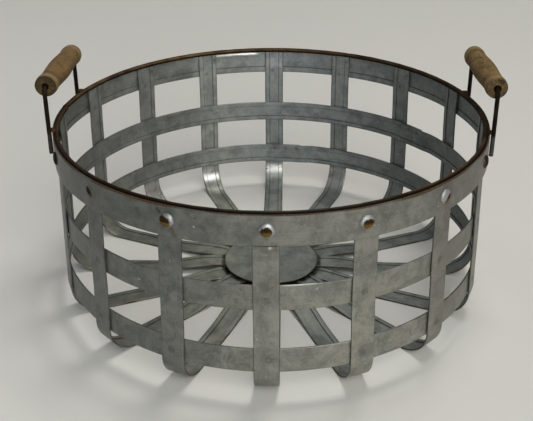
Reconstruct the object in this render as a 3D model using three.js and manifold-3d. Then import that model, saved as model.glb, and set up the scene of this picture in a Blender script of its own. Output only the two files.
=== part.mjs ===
// Round open basket of galvanised strip: upright straps that bend under the base and meet below a
// centre disc, two hoops inside the straps, a riveted band and a wire rim at the top, and two wire
// handles with turned wooden grips.
// Millimetres, +Z up. The origin is on the ground under the middle of the base. Angles run about +Z
// from the front, -Y, towards +X.

import * as THREE from 'three';
import { mergeVertices } from 'three/addons/utils/BufferGeometryUtils.js';
import Module from 'manifold-3d';

const wasm = await Module();
wasm.setup();

// Sheet strip, shared by the straps, the hoops and the band
const SHEET = 0.7;
const HEM_WIDTH = 4.6;
const BAND_HEM_WIDTH = 6;
const HEM_GAP = 0.1;
const CLEARANCE = 0.3;

// Wall and base
const STRAP_COUNT = 16; // even: every second strap lies over its two neighbours at the base
const STRAP_WIDTH = 20;
const WALL_RADIUS = 190.2; // outer face of a strap, level with the rim wire
const WALL_FLARE_DEG = 1.4;
const RIM_HEIGHT = 163; // ground to the middle of the rim wire
const BEND_RADIUS = 24.5;
const FOOT_INNER_RADIUS = 116; // a strap lies on the ground from its bend to here
const BASE_RISE = 5.5; // underside of the lower straps at the middle of the base
const FAN_MARGIN = 3.5;
const DISC_RADIUS = 46;
const DISC_THICKNESS = 1.2;
const DISC_BEVEL = 0.3;

// Hoops, band and rim
const HOOP_WIDTH = 21.5;
const LOWER_HOOP_GAP = 0.6; // from the top of the straps' bend to the lower hoop
const LAP_LENGTH = 34;
const LAP_EASE = 16;
const LOWER_SEAM_DEG = 171;
const MIDDLE_SEAM_DEG = 125;
const BAND_WIDTH = 27;
const BAND_LIP = 0.8; // upper edge of the band above the middle of the rim wire
const RIM_WIRE_DIAMETER = 5;
const RIM_BUTT_GAP = 0.4;
const RIM_BUTT_DEG = -95;

// Rivets
const RIVET_BELOW_RIM = 13.4;
const RIVET_HEAD_DIAMETER = 10.8;
const RIVET_HEAD_HEIGHT = 3.2;
const RIVET_SHANK_DIAMETER = 4.6;

// Handles
const HANDLE_DEG = 91.2;
const HANDLE_SPAN = 98.3;
const HANDLE_RISE = 39.3; // rim wire to the axis of the grip
const HANDLE_TAIL = 20.5; // length of leg below the rim wire
const HANDLE_WIRE_DIAMETER = 3.8;
const HANDLE_BEND_RADIUS = 4.5;
const WELD_DIAMETER = 6.4;
const WELD_LIFT = 0.6;

// Wooden grips
const GRIP_END_GAP = 1.2;
const GRIP_BORE_DIAMETER = 5.6;
const GRIP_END_DIAMETER = 15;
const GRIP_BEAD_DIAMETER = 19;
const GRIP_NECK_DIAMETER = 17.8;
const GRIP_MIDDLE_DIAMETER = 20;
const GRIP_BEAD_LENGTH = 6;
const GRIP_NECK_LENGTH = 14;

// Facets
const RING_FACETS = 72;
const BEND_FACETS = 7;
const WIRE_SIDES = 10;
const HANDLE_SIDES = 8;
const HANDLE_BEND_FACETS = 4;
const RIVET_SIDES = 10;
const DISC_FACETS = 40;
const GRIP_SIDES = 20;
const GRIP_RINGS = 14;

// Sizes that follow
const FULL_TURN = 2 * Math.PI;
const FLARE = THREE.MathUtils.degToRad(WALL_FLARE_DEG);
const STRAP_PITCH = FULL_TURN / STRAP_COUNT;
const STRIP_THICKNESS = 2 * SHEET + HEM_GAP; // at a folded edge
const UPPER_LIFT = STRIP_THICKNESS + CLEARANCE; // an upper strap over the folded edges of a lower one
const RIM_WIRE_RADIUS = RIM_WIRE_DIAMETER / 2;
const BEND_TOP = BEND_RADIUS * (1 + Math.sin(FLARE));
const STRAP_TOP = RIM_HEIGHT - RIM_WIRE_RADIUS - CLEARANCE;
const FAN_RADIUS = STRAP_WIDTH / 2 / Math.tan(STRAP_PITCH / 2) + FAN_MARGIN;
const STRAP_INNER_END = STRAP_WIDTH / 2 / Math.tan(STRAP_PITCH) + FAN_MARGIN;
const BAND_TOP = RIM_HEIGHT + BAND_LIP;
const BAND_MIDDLE = BAND_TOP - BAND_WIDTH / 2;
const LOWER_HOOP_MIDDLE = BEND_TOP + LOWER_HOOP_GAP + HOOP_WIDTH / 2;
const MIDDLE_HOOP_MIDDLE = (BAND_TOP - BAND_WIDTH + LOWER_HOOP_MIDDLE + HOOP_WIDTH / 2) / 2;
const RIVET_HEIGHT = RIM_HEIGHT - RIVET_BELOW_RIM;
const DISC_BOTTOM = BASE_RISE + UPPER_LIFT + STRIP_THICKNESS + CLEARANCE;

// The straps are flat across, so their edges stand farther out than their middle line. Ring facets
// cut inside their circle by the same rule.
const wallRadius = (height) => WALL_RADIUS + (RIM_HEIGHT - height) * Math.tan(FLARE);
const BAND_OFFSET = Math.hypot(WALL_RADIUS, STRAP_WIDTH / 2) / Math.cos(Math.PI / RING_FACETS)
  - WALL_RADIUS + CLEARANCE + STRIP_THICKNESS; // strap face to the outer face of the band
const RIM_RADIUS = WALL_RADIUS + BAND_OFFSET - SHEET - CLEARANCE - RIM_WIRE_RADIUS;

// Handle legs stand just outside the band, measured where the flared band is widest beside them
const LEG_RADIUS = wallRadius(RIM_HEIGHT - HANDLE_TAIL) + BAND_OFFSET + CLEARANCE + HANDLE_WIRE_DIAMETER / 2;
const HANDLE_CHORD = Math.sqrt(LEG_RADIUS ** 2 - (HANDLE_SPAN / 2) ** 2);
const GRIP_LENGTH = HANDLE_SPAN - HANDLE_WIRE_DIAMETER - 2 * GRIP_END_GAP;
const GRIP_HEIGHT = RIM_HEIGHT + HANDLE_RISE;

const galvanised = new THREE.MeshStandardMaterial({ color: 0x868986, roughness: 0.45, metalness: 0.9 });
const rustedWire = new THREE.MeshStandardMaterial({ color: 0x4a2f18, roughness: 0.75, metalness: 0.6 });
const rivetSteel = new THREE.MeshStandardMaterial({ color: 0xa9aaa6, roughness: 0.35, metalness: 0.9 });
const weatheredWood = new THREE.MeshStandardMaterial({ color: 0x7d6644, roughness: 0.8, metalness: 0 });

// Closed solid through a row of sections with the same number of points. Each section runs
// anticlockwise as seen by someone towards whom the row advances. Flat ends close it.
function loft(sections, outline) {
  const count = outline.length;
  const positions = sections.flat().flatMap((point) => point.toArray());
  const index = [];
  for (let row = 0; row + 1 < sections.length; row += 1) {
    for (let column = 0; column < count; column += 1) {
      const a = row * count + column;
      const b = row * count + (column + 1) % count;
      index.push(a, b, b + count, a, b + count, a + count);
    }
  }
  const last = (sections.length - 1) * count;
  for (const [a, b, c] of THREE.ShapeUtils.triangulateShape(outline, [])) {
    index.push(a, c, b, last + a, last + b, last + c);
  }
  const geometry = new THREE.BufferGeometry();
  geometry.setAttribute('position', new THREE.Float32BufferAttribute(positions, 3));
  geometry.setIndex(index);
  return geometry;
}

// One section: an outline of (across, inward) points set at a place with two unit directions
function sectionAt(outline, origin, across, inward) {
  return outline.map(({ x, y }) => origin.clone().addScaledVector(across, x).addScaledVector(inward, y));
}

function circleOutline(radius, sides) {
  return Array.from({ length: sides }, (_, side) => {
    const angle = FULL_TURN * side / sides;
    return new THREE.Vector2(radius * Math.cos(angle), radius * Math.sin(angle));
  });
}

// Strip with both long edges folded over onto its inner face
function hemmedOutline(width) {
  const half = width / 2;
  const fold = half - HEM_WIDTH;
  return [
    [-half, 0], [half, 0], [half, STRIP_THICKNESS], [fold, STRIP_THICKNESS],
    [fold, SHEET], [-fold, SHEET], [-fold, STRIP_THICKNESS], [-half, STRIP_THICKNESS],
  ].map(([x, y]) => new THREE.Vector2(x, y));
}

// Strip with only its lower edge folded; across runs down the wall
function bandOutline() {
  const half = BAND_WIDTH / 2;
  const fold = half - BAND_HEM_WIDTH;
  return [
    [-half, 0], [half, 0], [half, STRIP_THICKNESS], [fold, STRIP_THICKNESS], [fold, SHEET], [-half, SHEET],
  ].map(([x, y]) => new THREE.Vector2(x, y));
}

// Boolean cuts and joins
function toSolid(geometry) {
  const bare = geometry.clone();
  bare.deleteAttribute('normal');
  bare.deleteAttribute('uv');
  const merged = mergeVertices(bare, 1e-4);
  return new wasm.Manifold(new wasm.Mesh({
    numProp: 3,
    vertProperties: new Float32Array(merged.getAttribute('position').array),
    triVerts: new Uint32Array(merged.getIndex().array),
  }));
}

function toGeometry(solid) {
  const mesh = solid.getMesh();
  const geometry = new THREE.BufferGeometry();
  geometry.setAttribute('position', new THREE.BufferAttribute(mesh.vertProperties, 3));
  geometry.setIndex(new THREE.BufferAttribute(mesh.triVerts, 1));
  return geometry;
}

const basket = new THREE.Group();

function addPiece(parent, name, geometry, material) {
  geometry.computeVertexNormals();
  const mesh = new THREE.Mesh(geometry, material);
  mesh.name = name;
  parent.add(mesh);
  return mesh;
}

const numbered = (name, position) => `${name}_${String(position + 1).padStart(2, '0')}`;

// Rivet holes

// Cutter for one rivet hole, on the rivet's axis at an angle round the wall
function rivetHole(angle) {
  const reach = 2 * (BAND_OFFSET + STRIP_THICKNESS);
  const radius = RIVET_SHANK_DIAMETER / 2 + CLEARANCE;
  const hole = new THREE.CylinderGeometry(radius, radius, 2 * reach, RIVET_SIDES);
  hole.rotateX(-FLARE);
  hole.translate(0, -wallRadius(RIVET_HEIGHT), RIVET_HEIGHT);
  hole.rotateZ(angle);
  return toSolid(hole);
}

// Straps

// Outer face of a strap as (radius, height, lean) stations from its top to its inner end. Lean is the
// strap's direction: minus the flare on the wall, a right angle where it runs level to the middle.
function strapStations(rise) {
  const bendMiddle = wallRadius(BEND_TOP) - BEND_RADIUS * Math.cos(FLARE);
  const level = Math.PI / 2;
  const climb = Math.atan2(rise, FOOT_INNER_RADIUS - FAN_RADIUS);
  const stations = [[wallRadius(STRAP_TOP), STRAP_TOP, -FLARE]];
  for (let step = 0; step <= BEND_FACETS; step += 1) {
    const lean = THREE.MathUtils.lerp(-FLARE, level, step / BEND_FACETS);
    stations.push([
      bendMiddle + BEND_RADIUS * Math.cos(lean), BEND_RADIUS * (1 - Math.sin(lean)), lean,
    ]);
  }
  stations.push([FOOT_INNER_RADIUS, 0, level + climb / 2]);
  stations.push([FAN_RADIUS, rise, level + climb / 2]);
  stations.push([STRAP_INNER_END, rise, level]);
  return stations;
}

function strapGeometry(rise) {
  const outline = hemmedOutline(STRAP_WIDTH);
  const across = new THREE.Vector3(-1, 0, 0);
  const sections = strapStations(rise).map(([radius, height, lean]) => sectionAt(
    outline,
    new THREE.Vector3(0, -radius, height),
    across,
    new THREE.Vector3(0, Math.cos(lean), Math.sin(lean)),
  ));
  return toGeometry(toSolid(loft(sections, outline)).subtract(rivetHole(0)));
}

const lowerStrap = strapGeometry(BASE_RISE);
const upperStrap = strapGeometry(BASE_RISE + UPPER_LIFT);
for (let position = 0; position < STRAP_COUNT; position += 1) {
  const shape = position % 2 === 0 ? upperStrap : lowerStrap;
  addPiece(basket, numbered('strap', position), shape, galvanised).rotation.z = position * STRAP_PITCH;
}

// Hoops and band

// Section of a ring that follows the flared wall, set inwards from the straps' outer face
function wallSection(outline, height, inset, angle) {
  const outward = new THREE.Vector3(Math.sin(angle), -Math.cos(angle), 0);
  const up = new THREE.Vector3(0, 0, 1);
  const down = outward.clone().multiplyScalar(Math.sin(FLARE)).addScaledVector(up, -Math.cos(FLARE));
  const inward = outward.clone().multiplyScalar(-Math.cos(FLARE)).addScaledVector(up, -Math.sin(FLARE));
  const origin = outward.clone().multiplyScalar(wallRadius(height)).addScaledVector(up, height);
  return sectionAt(outline, origin.addScaledVector(inward, inset), down, inward);
}

// Hoop inside the straps, whose second end steps inwards and laps over the first
function lappedHoop(height, seamDegrees) {
  const outline = hemmedOutline(HOOP_WIDTH);
  const seam = THREE.MathUtils.degToRad(seamDegrees);
  const seat = STRIP_THICKNESS + CLEARANCE;
  const sweep = FULL_TURN + LAP_LENGTH / wallRadius(height);
  const ease = LAP_EASE / wallRadius(height);
  const steps = Math.ceil(RING_FACETS * sweep / FULL_TURN);
  const sections = Array.from({ length: steps + 1 }, (_, step) => {
    const angle = sweep * step / steps;
    const lapped = THREE.MathUtils.smoothstep(angle, FULL_TURN - ease, FULL_TURN);
    return wallSection(outline, height, seat * (1 + lapped), seam + angle);
  });
  return loft(sections, outline);
}

addPiece(basket, 'middle_hoop', lappedHoop(MIDDLE_HOOP_MIDDLE, MIDDLE_SEAM_DEG), galvanised);
addPiece(basket, 'lower_hoop', lappedHoop(LOWER_HOOP_MIDDLE, LOWER_SEAM_DEG), galvanised);

// Band outside the straps, a closed ring with one hole for each rivet
function bandGeometry() {
  const profile = bandOutline().map(({ x, y }) => new THREE.Vector2(
    wallRadius(BAND_MIDDLE) + BAND_OFFSET + x * Math.sin(FLARE) - y * Math.cos(FLARE),
    BAND_MIDDLE - x * Math.cos(FLARE) - y * Math.sin(FLARE),
  )).reverse();
  const ring = new THREE.LatheGeometry([...profile, profile[0]], RING_FACETS);
  ring.rotateX(Math.PI / 2);
  let band = toSolid(ring);
  for (let position = 0; position < STRAP_COUNT; position += 1) {
    band = band.subtract(rivetHole(position * STRAP_PITCH));
  }
  return toGeometry(band);
}

addPiece(basket, 'top_band', bandGeometry(), galvanised);

// Rim wire inside the upper edge of the band, its two ends butted
function rimWireGeometry() {
  const outline = circleOutline(RIM_WIRE_RADIUS, WIRE_SIDES);
  const butt = THREE.MathUtils.degToRad(RIM_BUTT_DEG);
  const gap = RIM_BUTT_GAP / RIM_RADIUS;
  const sections = Array.from({ length: RING_FACETS + 1 }, (_, step) => {
    const angle = butt + THREE.MathUtils.clamp(FULL_TURN * step / RING_FACETS, gap / 2, FULL_TURN - gap / 2);
    const outward = new THREE.Vector3(Math.sin(angle), -Math.cos(angle), 0);
    const origin = outward.clone().multiplyScalar(RIM_RADIUS).setZ(RIM_HEIGHT);
    return sectionAt(outline, origin, new THREE.Vector3(0, 0, -1), outward.negate());
  });
  return loft(sections, outline);
}

addPiece(basket, 'rim_wire', rimWireGeometry(), rustedWire);

// Rivets through the band and the straps

// Turned about its own axis, +Y out of the wall, from the tail, set flush with the strap's inner face,
// to the domed head. Zero is the strap's outer face.
function rivetGeometry() {
  const headSeat = BAND_OFFSET + CLEARANCE;
  const shank = RIVET_SHANK_DIAMETER / 2;
  const head = RIVET_HEAD_DIAMETER / 2;
  const profile = [
    [0, -SHEET], [shank, -SHEET], [shank, headSeat], [head, headSeat],
    [head * 0.86, headSeat + RIVET_HEAD_HEIGHT * 0.5], [head * 0.5, headSeat + RIVET_HEAD_HEIGHT * 0.88],
    [0, headSeat + RIVET_HEAD_HEIGHT],
  ].map(([x, y]) => new THREE.Vector2(x, y));
  return new THREE.LatheGeometry(profile, RIVET_SIDES);
}

const rivet = rivetGeometry();
for (let position = 0; position < STRAP_COUNT; position += 1) {
  const spot = new THREE.Group();
  spot.rotation.z = position * STRAP_PITCH;
  const piece = addPiece(spot, numbered('rivet', position), rivet, rivetSteel);
  piece.position.set(0, -wallRadius(RIVET_HEIGHT), RIVET_HEIGHT);
  piece.rotation.x = Math.PI - FLARE;
  basket.add(spot);
}

// Centre disc over the inner ends of the straps
function discGeometry() {
  const top = DISC_BOTTOM + DISC_THICKNESS;
  const profile = [
    [0, DISC_BOTTOM], [DISC_RADIUS - DISC_BEVEL, DISC_BOTTOM], [DISC_RADIUS, DISC_BOTTOM + DISC_BEVEL],
    [DISC_RADIUS, top - DISC_BEVEL], [DISC_RADIUS - DISC_BEVEL, top], [0, top],
  ].map(([x, y]) => new THREE.Vector2(x, y));
  return new THREE.LatheGeometry(profile, DISC_FACETS).rotateX(Math.PI / 2);
}

addPiece(basket, 'centre_disc', discGeometry(), galvanised);

// Handles

// Wire bow in an upright plane at the front, from one leg's lower end to the other's
function bowGeometry() {
  const outline = circleOutline(HANDLE_WIRE_DIAMETER / 2, HANDLE_SIDES);
  const half = HANDLE_SPAN / 2;
  const corner = half - HANDLE_BEND_RADIUS;
  const cornerHeight = GRIP_HEIGHT - HANDLE_BEND_RADIUS;
  const foot = RIM_HEIGHT - HANDLE_TAIL;
  const stations = [[-half, foot, Math.PI / 2]];
  for (const side of [-1, 1]) {
    for (let step = 0; step <= HANDLE_BEND_FACETS; step += 1) {
      const along = step / HANDLE_BEND_FACETS;
      const slope = side < 0 ? Math.PI / 2 * (1 - along) : -Math.PI / 2 * along;
      stations.push([
        side * corner - HANDLE_BEND_RADIUS * Math.sin(slope),
        cornerHeight + HANDLE_BEND_RADIUS * Math.cos(slope),
        slope,
      ]);
    }
  }
  stations.push([half, foot, -Math.PI / 2]);
  const inward = new THREE.Vector3(0, 1, 0);
  const sections = stations.map(([x, height, slope]) => sectionAt(
    outline,
    new THREE.Vector3(x, -HANDLE_CHORD, height),
    new THREE.Vector3(Math.sin(slope), 0, -Math.cos(slope)),
    inward,
  ));
  return loft(sections, outline);
}

// Room for the rim wire and the band's upper edge, with the clearance all round
function rimRoom() {
  const wire = new THREE.TorusGeometry(RIM_RADIUS, RIM_WIRE_RADIUS + CLEARANCE, WIRE_SIDES, RING_FACETS);
  wire.translate(0, 0, RIM_HEIGHT);
  const bandFace = wallRadius(BAND_TOP - BAND_WIDTH) + BAND_OFFSET + CLEARANCE;
  const profile = [
    [RIM_RADIUS, BAND_TOP - BAND_WIDTH], [bandFace, BAND_TOP - BAND_WIDTH],
    [wallRadius(BAND_TOP) + BAND_OFFSET + CLEARANCE, BAND_TOP + CLEARANCE],
    [RIM_RADIUS, BAND_TOP + CLEARANCE], [RIM_RADIUS, BAND_TOP - BAND_WIDTH],
  ].map(([x, y]) => new THREE.Vector2(x, y));
  const band = new THREE.LatheGeometry(profile, RING_FACETS).rotateX(Math.PI / 2);
  return toSolid(wire).add(toSolid(band));
}

// Bow with the weld bead that joins each leg to the rim
function handleGeometry() {
  const radius = WELD_DIAMETER / 2;
  const reach = LEG_RADIUS - HANDLE_WIRE_DIAMETER / 2;
  const room = rimRoom();
  let handle = toSolid(bowGeometry());
  for (const side of [-1, 1]) {
    const bead = new THREE.SphereGeometry(radius, HANDLE_SIDES, HANDLE_SIDES / 2);
    bead.rotateX(Math.PI / 2);
    bead.translate(
      side * HANDLE_SPAN / 2 * reach / LEG_RADIUS, -HANDLE_CHORD * reach / LEG_RADIUS, RIM_HEIGHT + WELD_LIFT,
    );
    handle = handle.add(toSolid(bead).subtract(room));
  }
  return toGeometry(handle);
}

// Turned grip along X: flat ends, a bead at each end, a shallow neck and a swelled middle
function gripGeometry() {
  const half = GRIP_LENGTH / 2;
  const outer = new THREE.SplineCurve([
    [GRIP_END_DIAMETER, -half], [GRIP_BEAD_DIAMETER, GRIP_BEAD_LENGTH - half],
    [GRIP_NECK_DIAMETER, GRIP_NECK_LENGTH - half], [GRIP_MIDDLE_DIAMETER, 0],
    [GRIP_NECK_DIAMETER, half - GRIP_NECK_LENGTH], [GRIP_BEAD_DIAMETER, half - GRIP_BEAD_LENGTH],
    [GRIP_END_DIAMETER, half],
  ].map(([diameter, along]) => new THREE.Vector2(diameter / 2, along)));
  const bore = GRIP_BORE_DIAMETER / 2;
  const start = new THREE.Vector2(bore, -half);
  const profile = [start, ...outer.getPoints(GRIP_RINGS), new THREE.Vector2(bore, half), start];
  return new THREE.LatheGeometry(profile, GRIP_SIDES).rotateZ(-Math.PI / 2);
}

const bow = handleGeometry();
const grip = gripGeometry();
for (const [side, sign] of [['left', -1], ['right', 1]]) {
  const handle = new THREE.Group();
  handle.rotation.z = THREE.MathUtils.degToRad(sign * HANDLE_DEG);
  addPiece(handle, `${side}_handle_wire`, bow, rustedWire);
  addPiece(handle, `${side}_grip`, grip, weatheredWood).position.set(0, -HANDLE_CHORD, GRIP_HEIGHT);
  basket.add(handle);
}

export default basket;
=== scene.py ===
"""Looks for a round open basket of galvanised strip with two wooden-gripped wire handles.

Sizes are in millimetres until a mesh is made, and angles run about +Z from the front, -Y, towards +X.
"""

from __future__ import annotations

import logging
import math
from dataclasses import dataclass, field
from enum import Enum, IntEnum
from typing import Sequence

import bpy
import numpy as np
from mathutils import Matrix, Vector

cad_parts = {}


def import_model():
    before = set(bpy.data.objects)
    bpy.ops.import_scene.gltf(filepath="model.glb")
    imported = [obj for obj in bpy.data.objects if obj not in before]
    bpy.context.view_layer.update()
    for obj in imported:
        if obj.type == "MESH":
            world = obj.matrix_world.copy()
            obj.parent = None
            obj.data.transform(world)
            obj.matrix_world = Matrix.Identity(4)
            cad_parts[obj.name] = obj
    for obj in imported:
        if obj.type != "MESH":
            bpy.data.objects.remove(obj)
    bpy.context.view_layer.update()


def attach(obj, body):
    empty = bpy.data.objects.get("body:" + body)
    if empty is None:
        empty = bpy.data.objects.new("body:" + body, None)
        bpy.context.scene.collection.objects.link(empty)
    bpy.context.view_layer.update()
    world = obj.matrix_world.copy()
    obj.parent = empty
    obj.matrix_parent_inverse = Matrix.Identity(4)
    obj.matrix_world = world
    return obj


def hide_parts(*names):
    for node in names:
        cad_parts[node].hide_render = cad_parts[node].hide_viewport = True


LOG = logging.getLogger("basket")
MM = 0.001
TURN = 2.0 * math.pi
UP = np.array([0.0, 0.0, 1.0])
WEAR_LAYER = "wear"
# Attribute with the share of painted light, a lighter colour on inner faces.
SHELTER_LAYER = "shelter"
STRIP_MAP = "strip"
MIX_SHARE, MIX_FIRST, MIX_SECOND, MIX_RESULT = 0, 6, 7, 2
Socket = bpy.types.NodeSocket
Array = np.ndarray
Colour = tuple[float, float, float, float]
Span = tuple[float, float]
Triple = tuple[float, float, float]


class Body(Enum):
    """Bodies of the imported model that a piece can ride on."""

    BASKET = "basket"
    LEFT_GRIP = "left_grip"
    RIGHT_GRIP = "right_grip"


class Slot(Enum):
    """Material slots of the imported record."""

    SHEET = "galvanised_sheet"
    WIRE = "rusted_wire"
    RIVET = "rivet_steel"
    WOOD = "weathered_wood"


class Side(Enum):
    """Side of a handle, with the sign of its place along X."""

    LEFT = -1
    RIGHT = 1

    @property
    def word(self) -> str:
        """Lower-case name used in node names."""
        return self.name.lower()


class Wear(IntEnum):
    """Channels of a piece's wear, painted highlights and painted shade, each a share from 0 to 1."""

    RUST = 0
    DIRT = 1
    EDGE = 2
    WELD = 3


def smoothstep(value: Array, low: float, high: float) -> Array:
    """Cubic ease from 0 at low to 1 at high.

    Args:
        value: Numbers to ease.
        low: Where the ease starts.
        high: Where it ends.

    Returns:
        3t² - 2t³ with t the clamped share of the way from low to high.
    """
    share = np.clip((np.asarray(value, float) - low) / (high - low), 0.0, 1.0)
    return share * share * (3.0 - 2.0 * share)


def fall(value: Array, low: float, high: float) -> Array:
    """Cubic ease from 1 at low to 0 at high."""
    return 1.0 - smoothstep(value, low, high)


def bell(offset: Array, width: float) -> Array:
    """Bell curve: 1 where the offset is nothing, 1/e where it is the width."""
    return np.exp(-(offset / width) ** 2)


def ripple(along: Array, seed: int, wavelengths: Sequence[float], height: float) -> Array:
    """Smooth unevenness: a sum of sines with seeded phases.

    Args:
        along: Distances along the piece.
        seed: Seed of the phases.
        wavelengths: One wavelength for each sine.
        height: Largest total of the sines.

    Returns:
        One offset for each distance.
    """
    phases = np.random.default_rng(seed).uniform(0.0, TURN, len(wavelengths))
    waves = [np.sin(TURN * along / length + phase) for length, phase in zip(wavelengths, phases)]
    return height * sum(waves) / len(wavelengths)


def near_angle(angle: Array, middle: float, width: float) -> Array:
    """Bell curve round the axis: 1 at the middle angle, falling off over the width, both in degrees."""
    return bell((np.degrees(angle) - middle + 180.0) % 360.0 - 180.0, width)


def circle(count: int) -> Array:
    """Evenly spaced angles from 0 to a full turn, without the last."""
    return np.arange(count) * TURN / count


def outward(angle: Array) -> Array:
    """Unit vectors pointing away from the axis: (sin a, -cos a, 0)."""
    angle = np.asarray(angle, float)
    return np.stack([np.sin(angle), -np.cos(angle), np.zeros_like(angle)], axis=-1)


def round_the_axis(angle: Array) -> Array:
    """Unit vectors along the ring, in the sense of growing angle: (cos a, sin a, 0)."""
    angle = np.asarray(angle, float)
    return np.stack([np.cos(angle), np.sin(angle), np.zeros_like(angle)], axis=-1)


def cylinder_points(radius: Array, angle: Array, height: Array) -> Array:
    """Points from radius, angle and height, which are broadcast together."""
    radius, angle, height = np.broadcast_arrays(radius, angle, height)
    return np.stack([radius * np.sin(angle), -radius * np.cos(angle), height], axis=-1)


def distance_along(first: Array, second: Array) -> Array:
    """Distance along a line from its start, from the two coordinates of its points."""
    steps = np.hypot(np.diff(first), np.diff(second))
    return np.concatenate([[0.0], np.cumsum(steps)])


def no_wear(grid: Array) -> Array:
    """Wear of nothing in all four channels, for a grid of rows × columns."""
    return np.zeros(grid.shape[:2] + (len(Wear),))


def strip_uv(along: Array, across: Array, offset: float) -> Array:
    """UV in metres along and across a strip, with an offset that sets one strip apart from the next."""
    return np.stack(np.broadcast_arrays(along[:, None] * MM, across * MM + offset), axis=-1)


@dataclass
class Surface:
    """A grid of points with its wear, ready to become a mesh.

    points holds rows × columns × 3 millimetres. wear holds rows × columns × 4 shares: rust and painted
    highlight, dirt and painted shade, bright edge and painted highlight, and weld mark. uv holds rows ×
    columns × 2 metres. shelter holds rows × columns shares of painted light, a lighter colour on
    inner faces.
    """

    points: Array
    wear: Array
    uv: Array | None = None
    shelter: Array | None = None
    wrap_rows: bool = False
    wrap_columns: bool = False
    caps: bool = False
    sharp_degrees: float = 40.0

    def faces(self) -> list[list[int]]:
        """Quads between neighbouring rows and columns, and the two end faces.

        Returns:
            Corner indices of each face, facing away from the swept profile's inside.
        """
        rows, columns = self.points.shape[:2]
        row = np.arange(rows if self.wrap_rows else rows - 1)[:, None]
        column = np.arange(columns if self.wrap_columns else columns - 1)[None, :]
        next_row = (row + 1) % rows
        next_column = (column + 1) % columns
        corners = [
            row * columns + column,
            row * columns + next_column,
            next_row * columns + next_column,
            next_row * columns + column,
        ]
        quads = np.stack(np.broadcast_arrays(*corners), axis=-1).reshape(-1, 4).tolist()
        if self.caps:
            first = list(range(columns))
            quads.append(first[::-1])
            quads.append([(rows - 1) * columns + corner for corner in first])
        return quads

    def to_object(self, name: str) -> bpy.types.Object:
        """Mesh object at the origin with smooth faces, sharp folds, wear with painted light and shade, and
        UV.

        Args:
            name: Name of the object.

        Returns:
            The new object, linked to the scene.
        """
        vertices = self.points.reshape(-1, 3) * MM
        mesh = bpy.data.meshes.new(name)
        mesh.from_pydata(vertices.tolist(), [], self.faces())
        mesh.polygons.foreach_set("use_smooth", np.ones(len(mesh.polygons), bool))
        layer = mesh.attributes.new(WEAR_LAYER, "FLOAT_COLOR", "POINT")
        layer.data.foreach_set("color", self.wear.astype(np.float32).ravel())
        if self.shelter is not None:
            layer = mesh.attributes.new(SHELTER_LAYER, "FLOAT", "POINT")
            layer.data.foreach_set("value", self.shelter.astype(np.float32).ravel())
        if self.uv is not None:
            corner_vertex = np.empty(len(mesh.loops), np.int32)
            mesh.loops.foreach_get("vertex_index", corner_vertex)
            per_vertex = self.uv.reshape(-1, 2).astype(np.float32)
            mesh.uv_layers.new(name=STRIP_MAP).data.foreach_set("uv", per_vertex[corner_vertex].ravel())
        mesh.set_sharp_from_angle(angle=math.radians(self.sharp_degrees))
        mesh.update()
        piece = bpy.data.objects.new(name, mesh)
        bpy.context.scene.collection.objects.link(piece)
        return piece


def place(piece: bpy.types.Object, material: bpy.types.Material, body: Body, slot: Slot, *nodes: str) -> None:
    """Dress a piece, let it ride on its body and let it stand for its CAD nodes.

    Args:
        piece: The new piece.
        material: Its finish.
        body: Body it moves with.
        slot: Record slot of its finish; not used.
        nodes: CAD nodes it replaces.
    """
    piece.data.materials.append(material)
    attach(piece, body.value)
    for node in nodes:
        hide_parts(node)
    LOG.info("%s: %d faces, for %s", piece.name, len(piece.data.polygons), ", ".join(nodes) or "no node")


@dataclass(frozen=True)
class Noise:
    """Fractal noise: features in a metre, levels of detail, roughness and distortion."""

    scale: float
    detail: float = 4.0
    roughness: float = 0.55
    distortion: float = 0.0


@dataclass(frozen=True)
class TintChange:
    """A tint that takes over between two places along an axis, in metres."""

    low: float
    high: float
    tint: Colour


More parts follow.
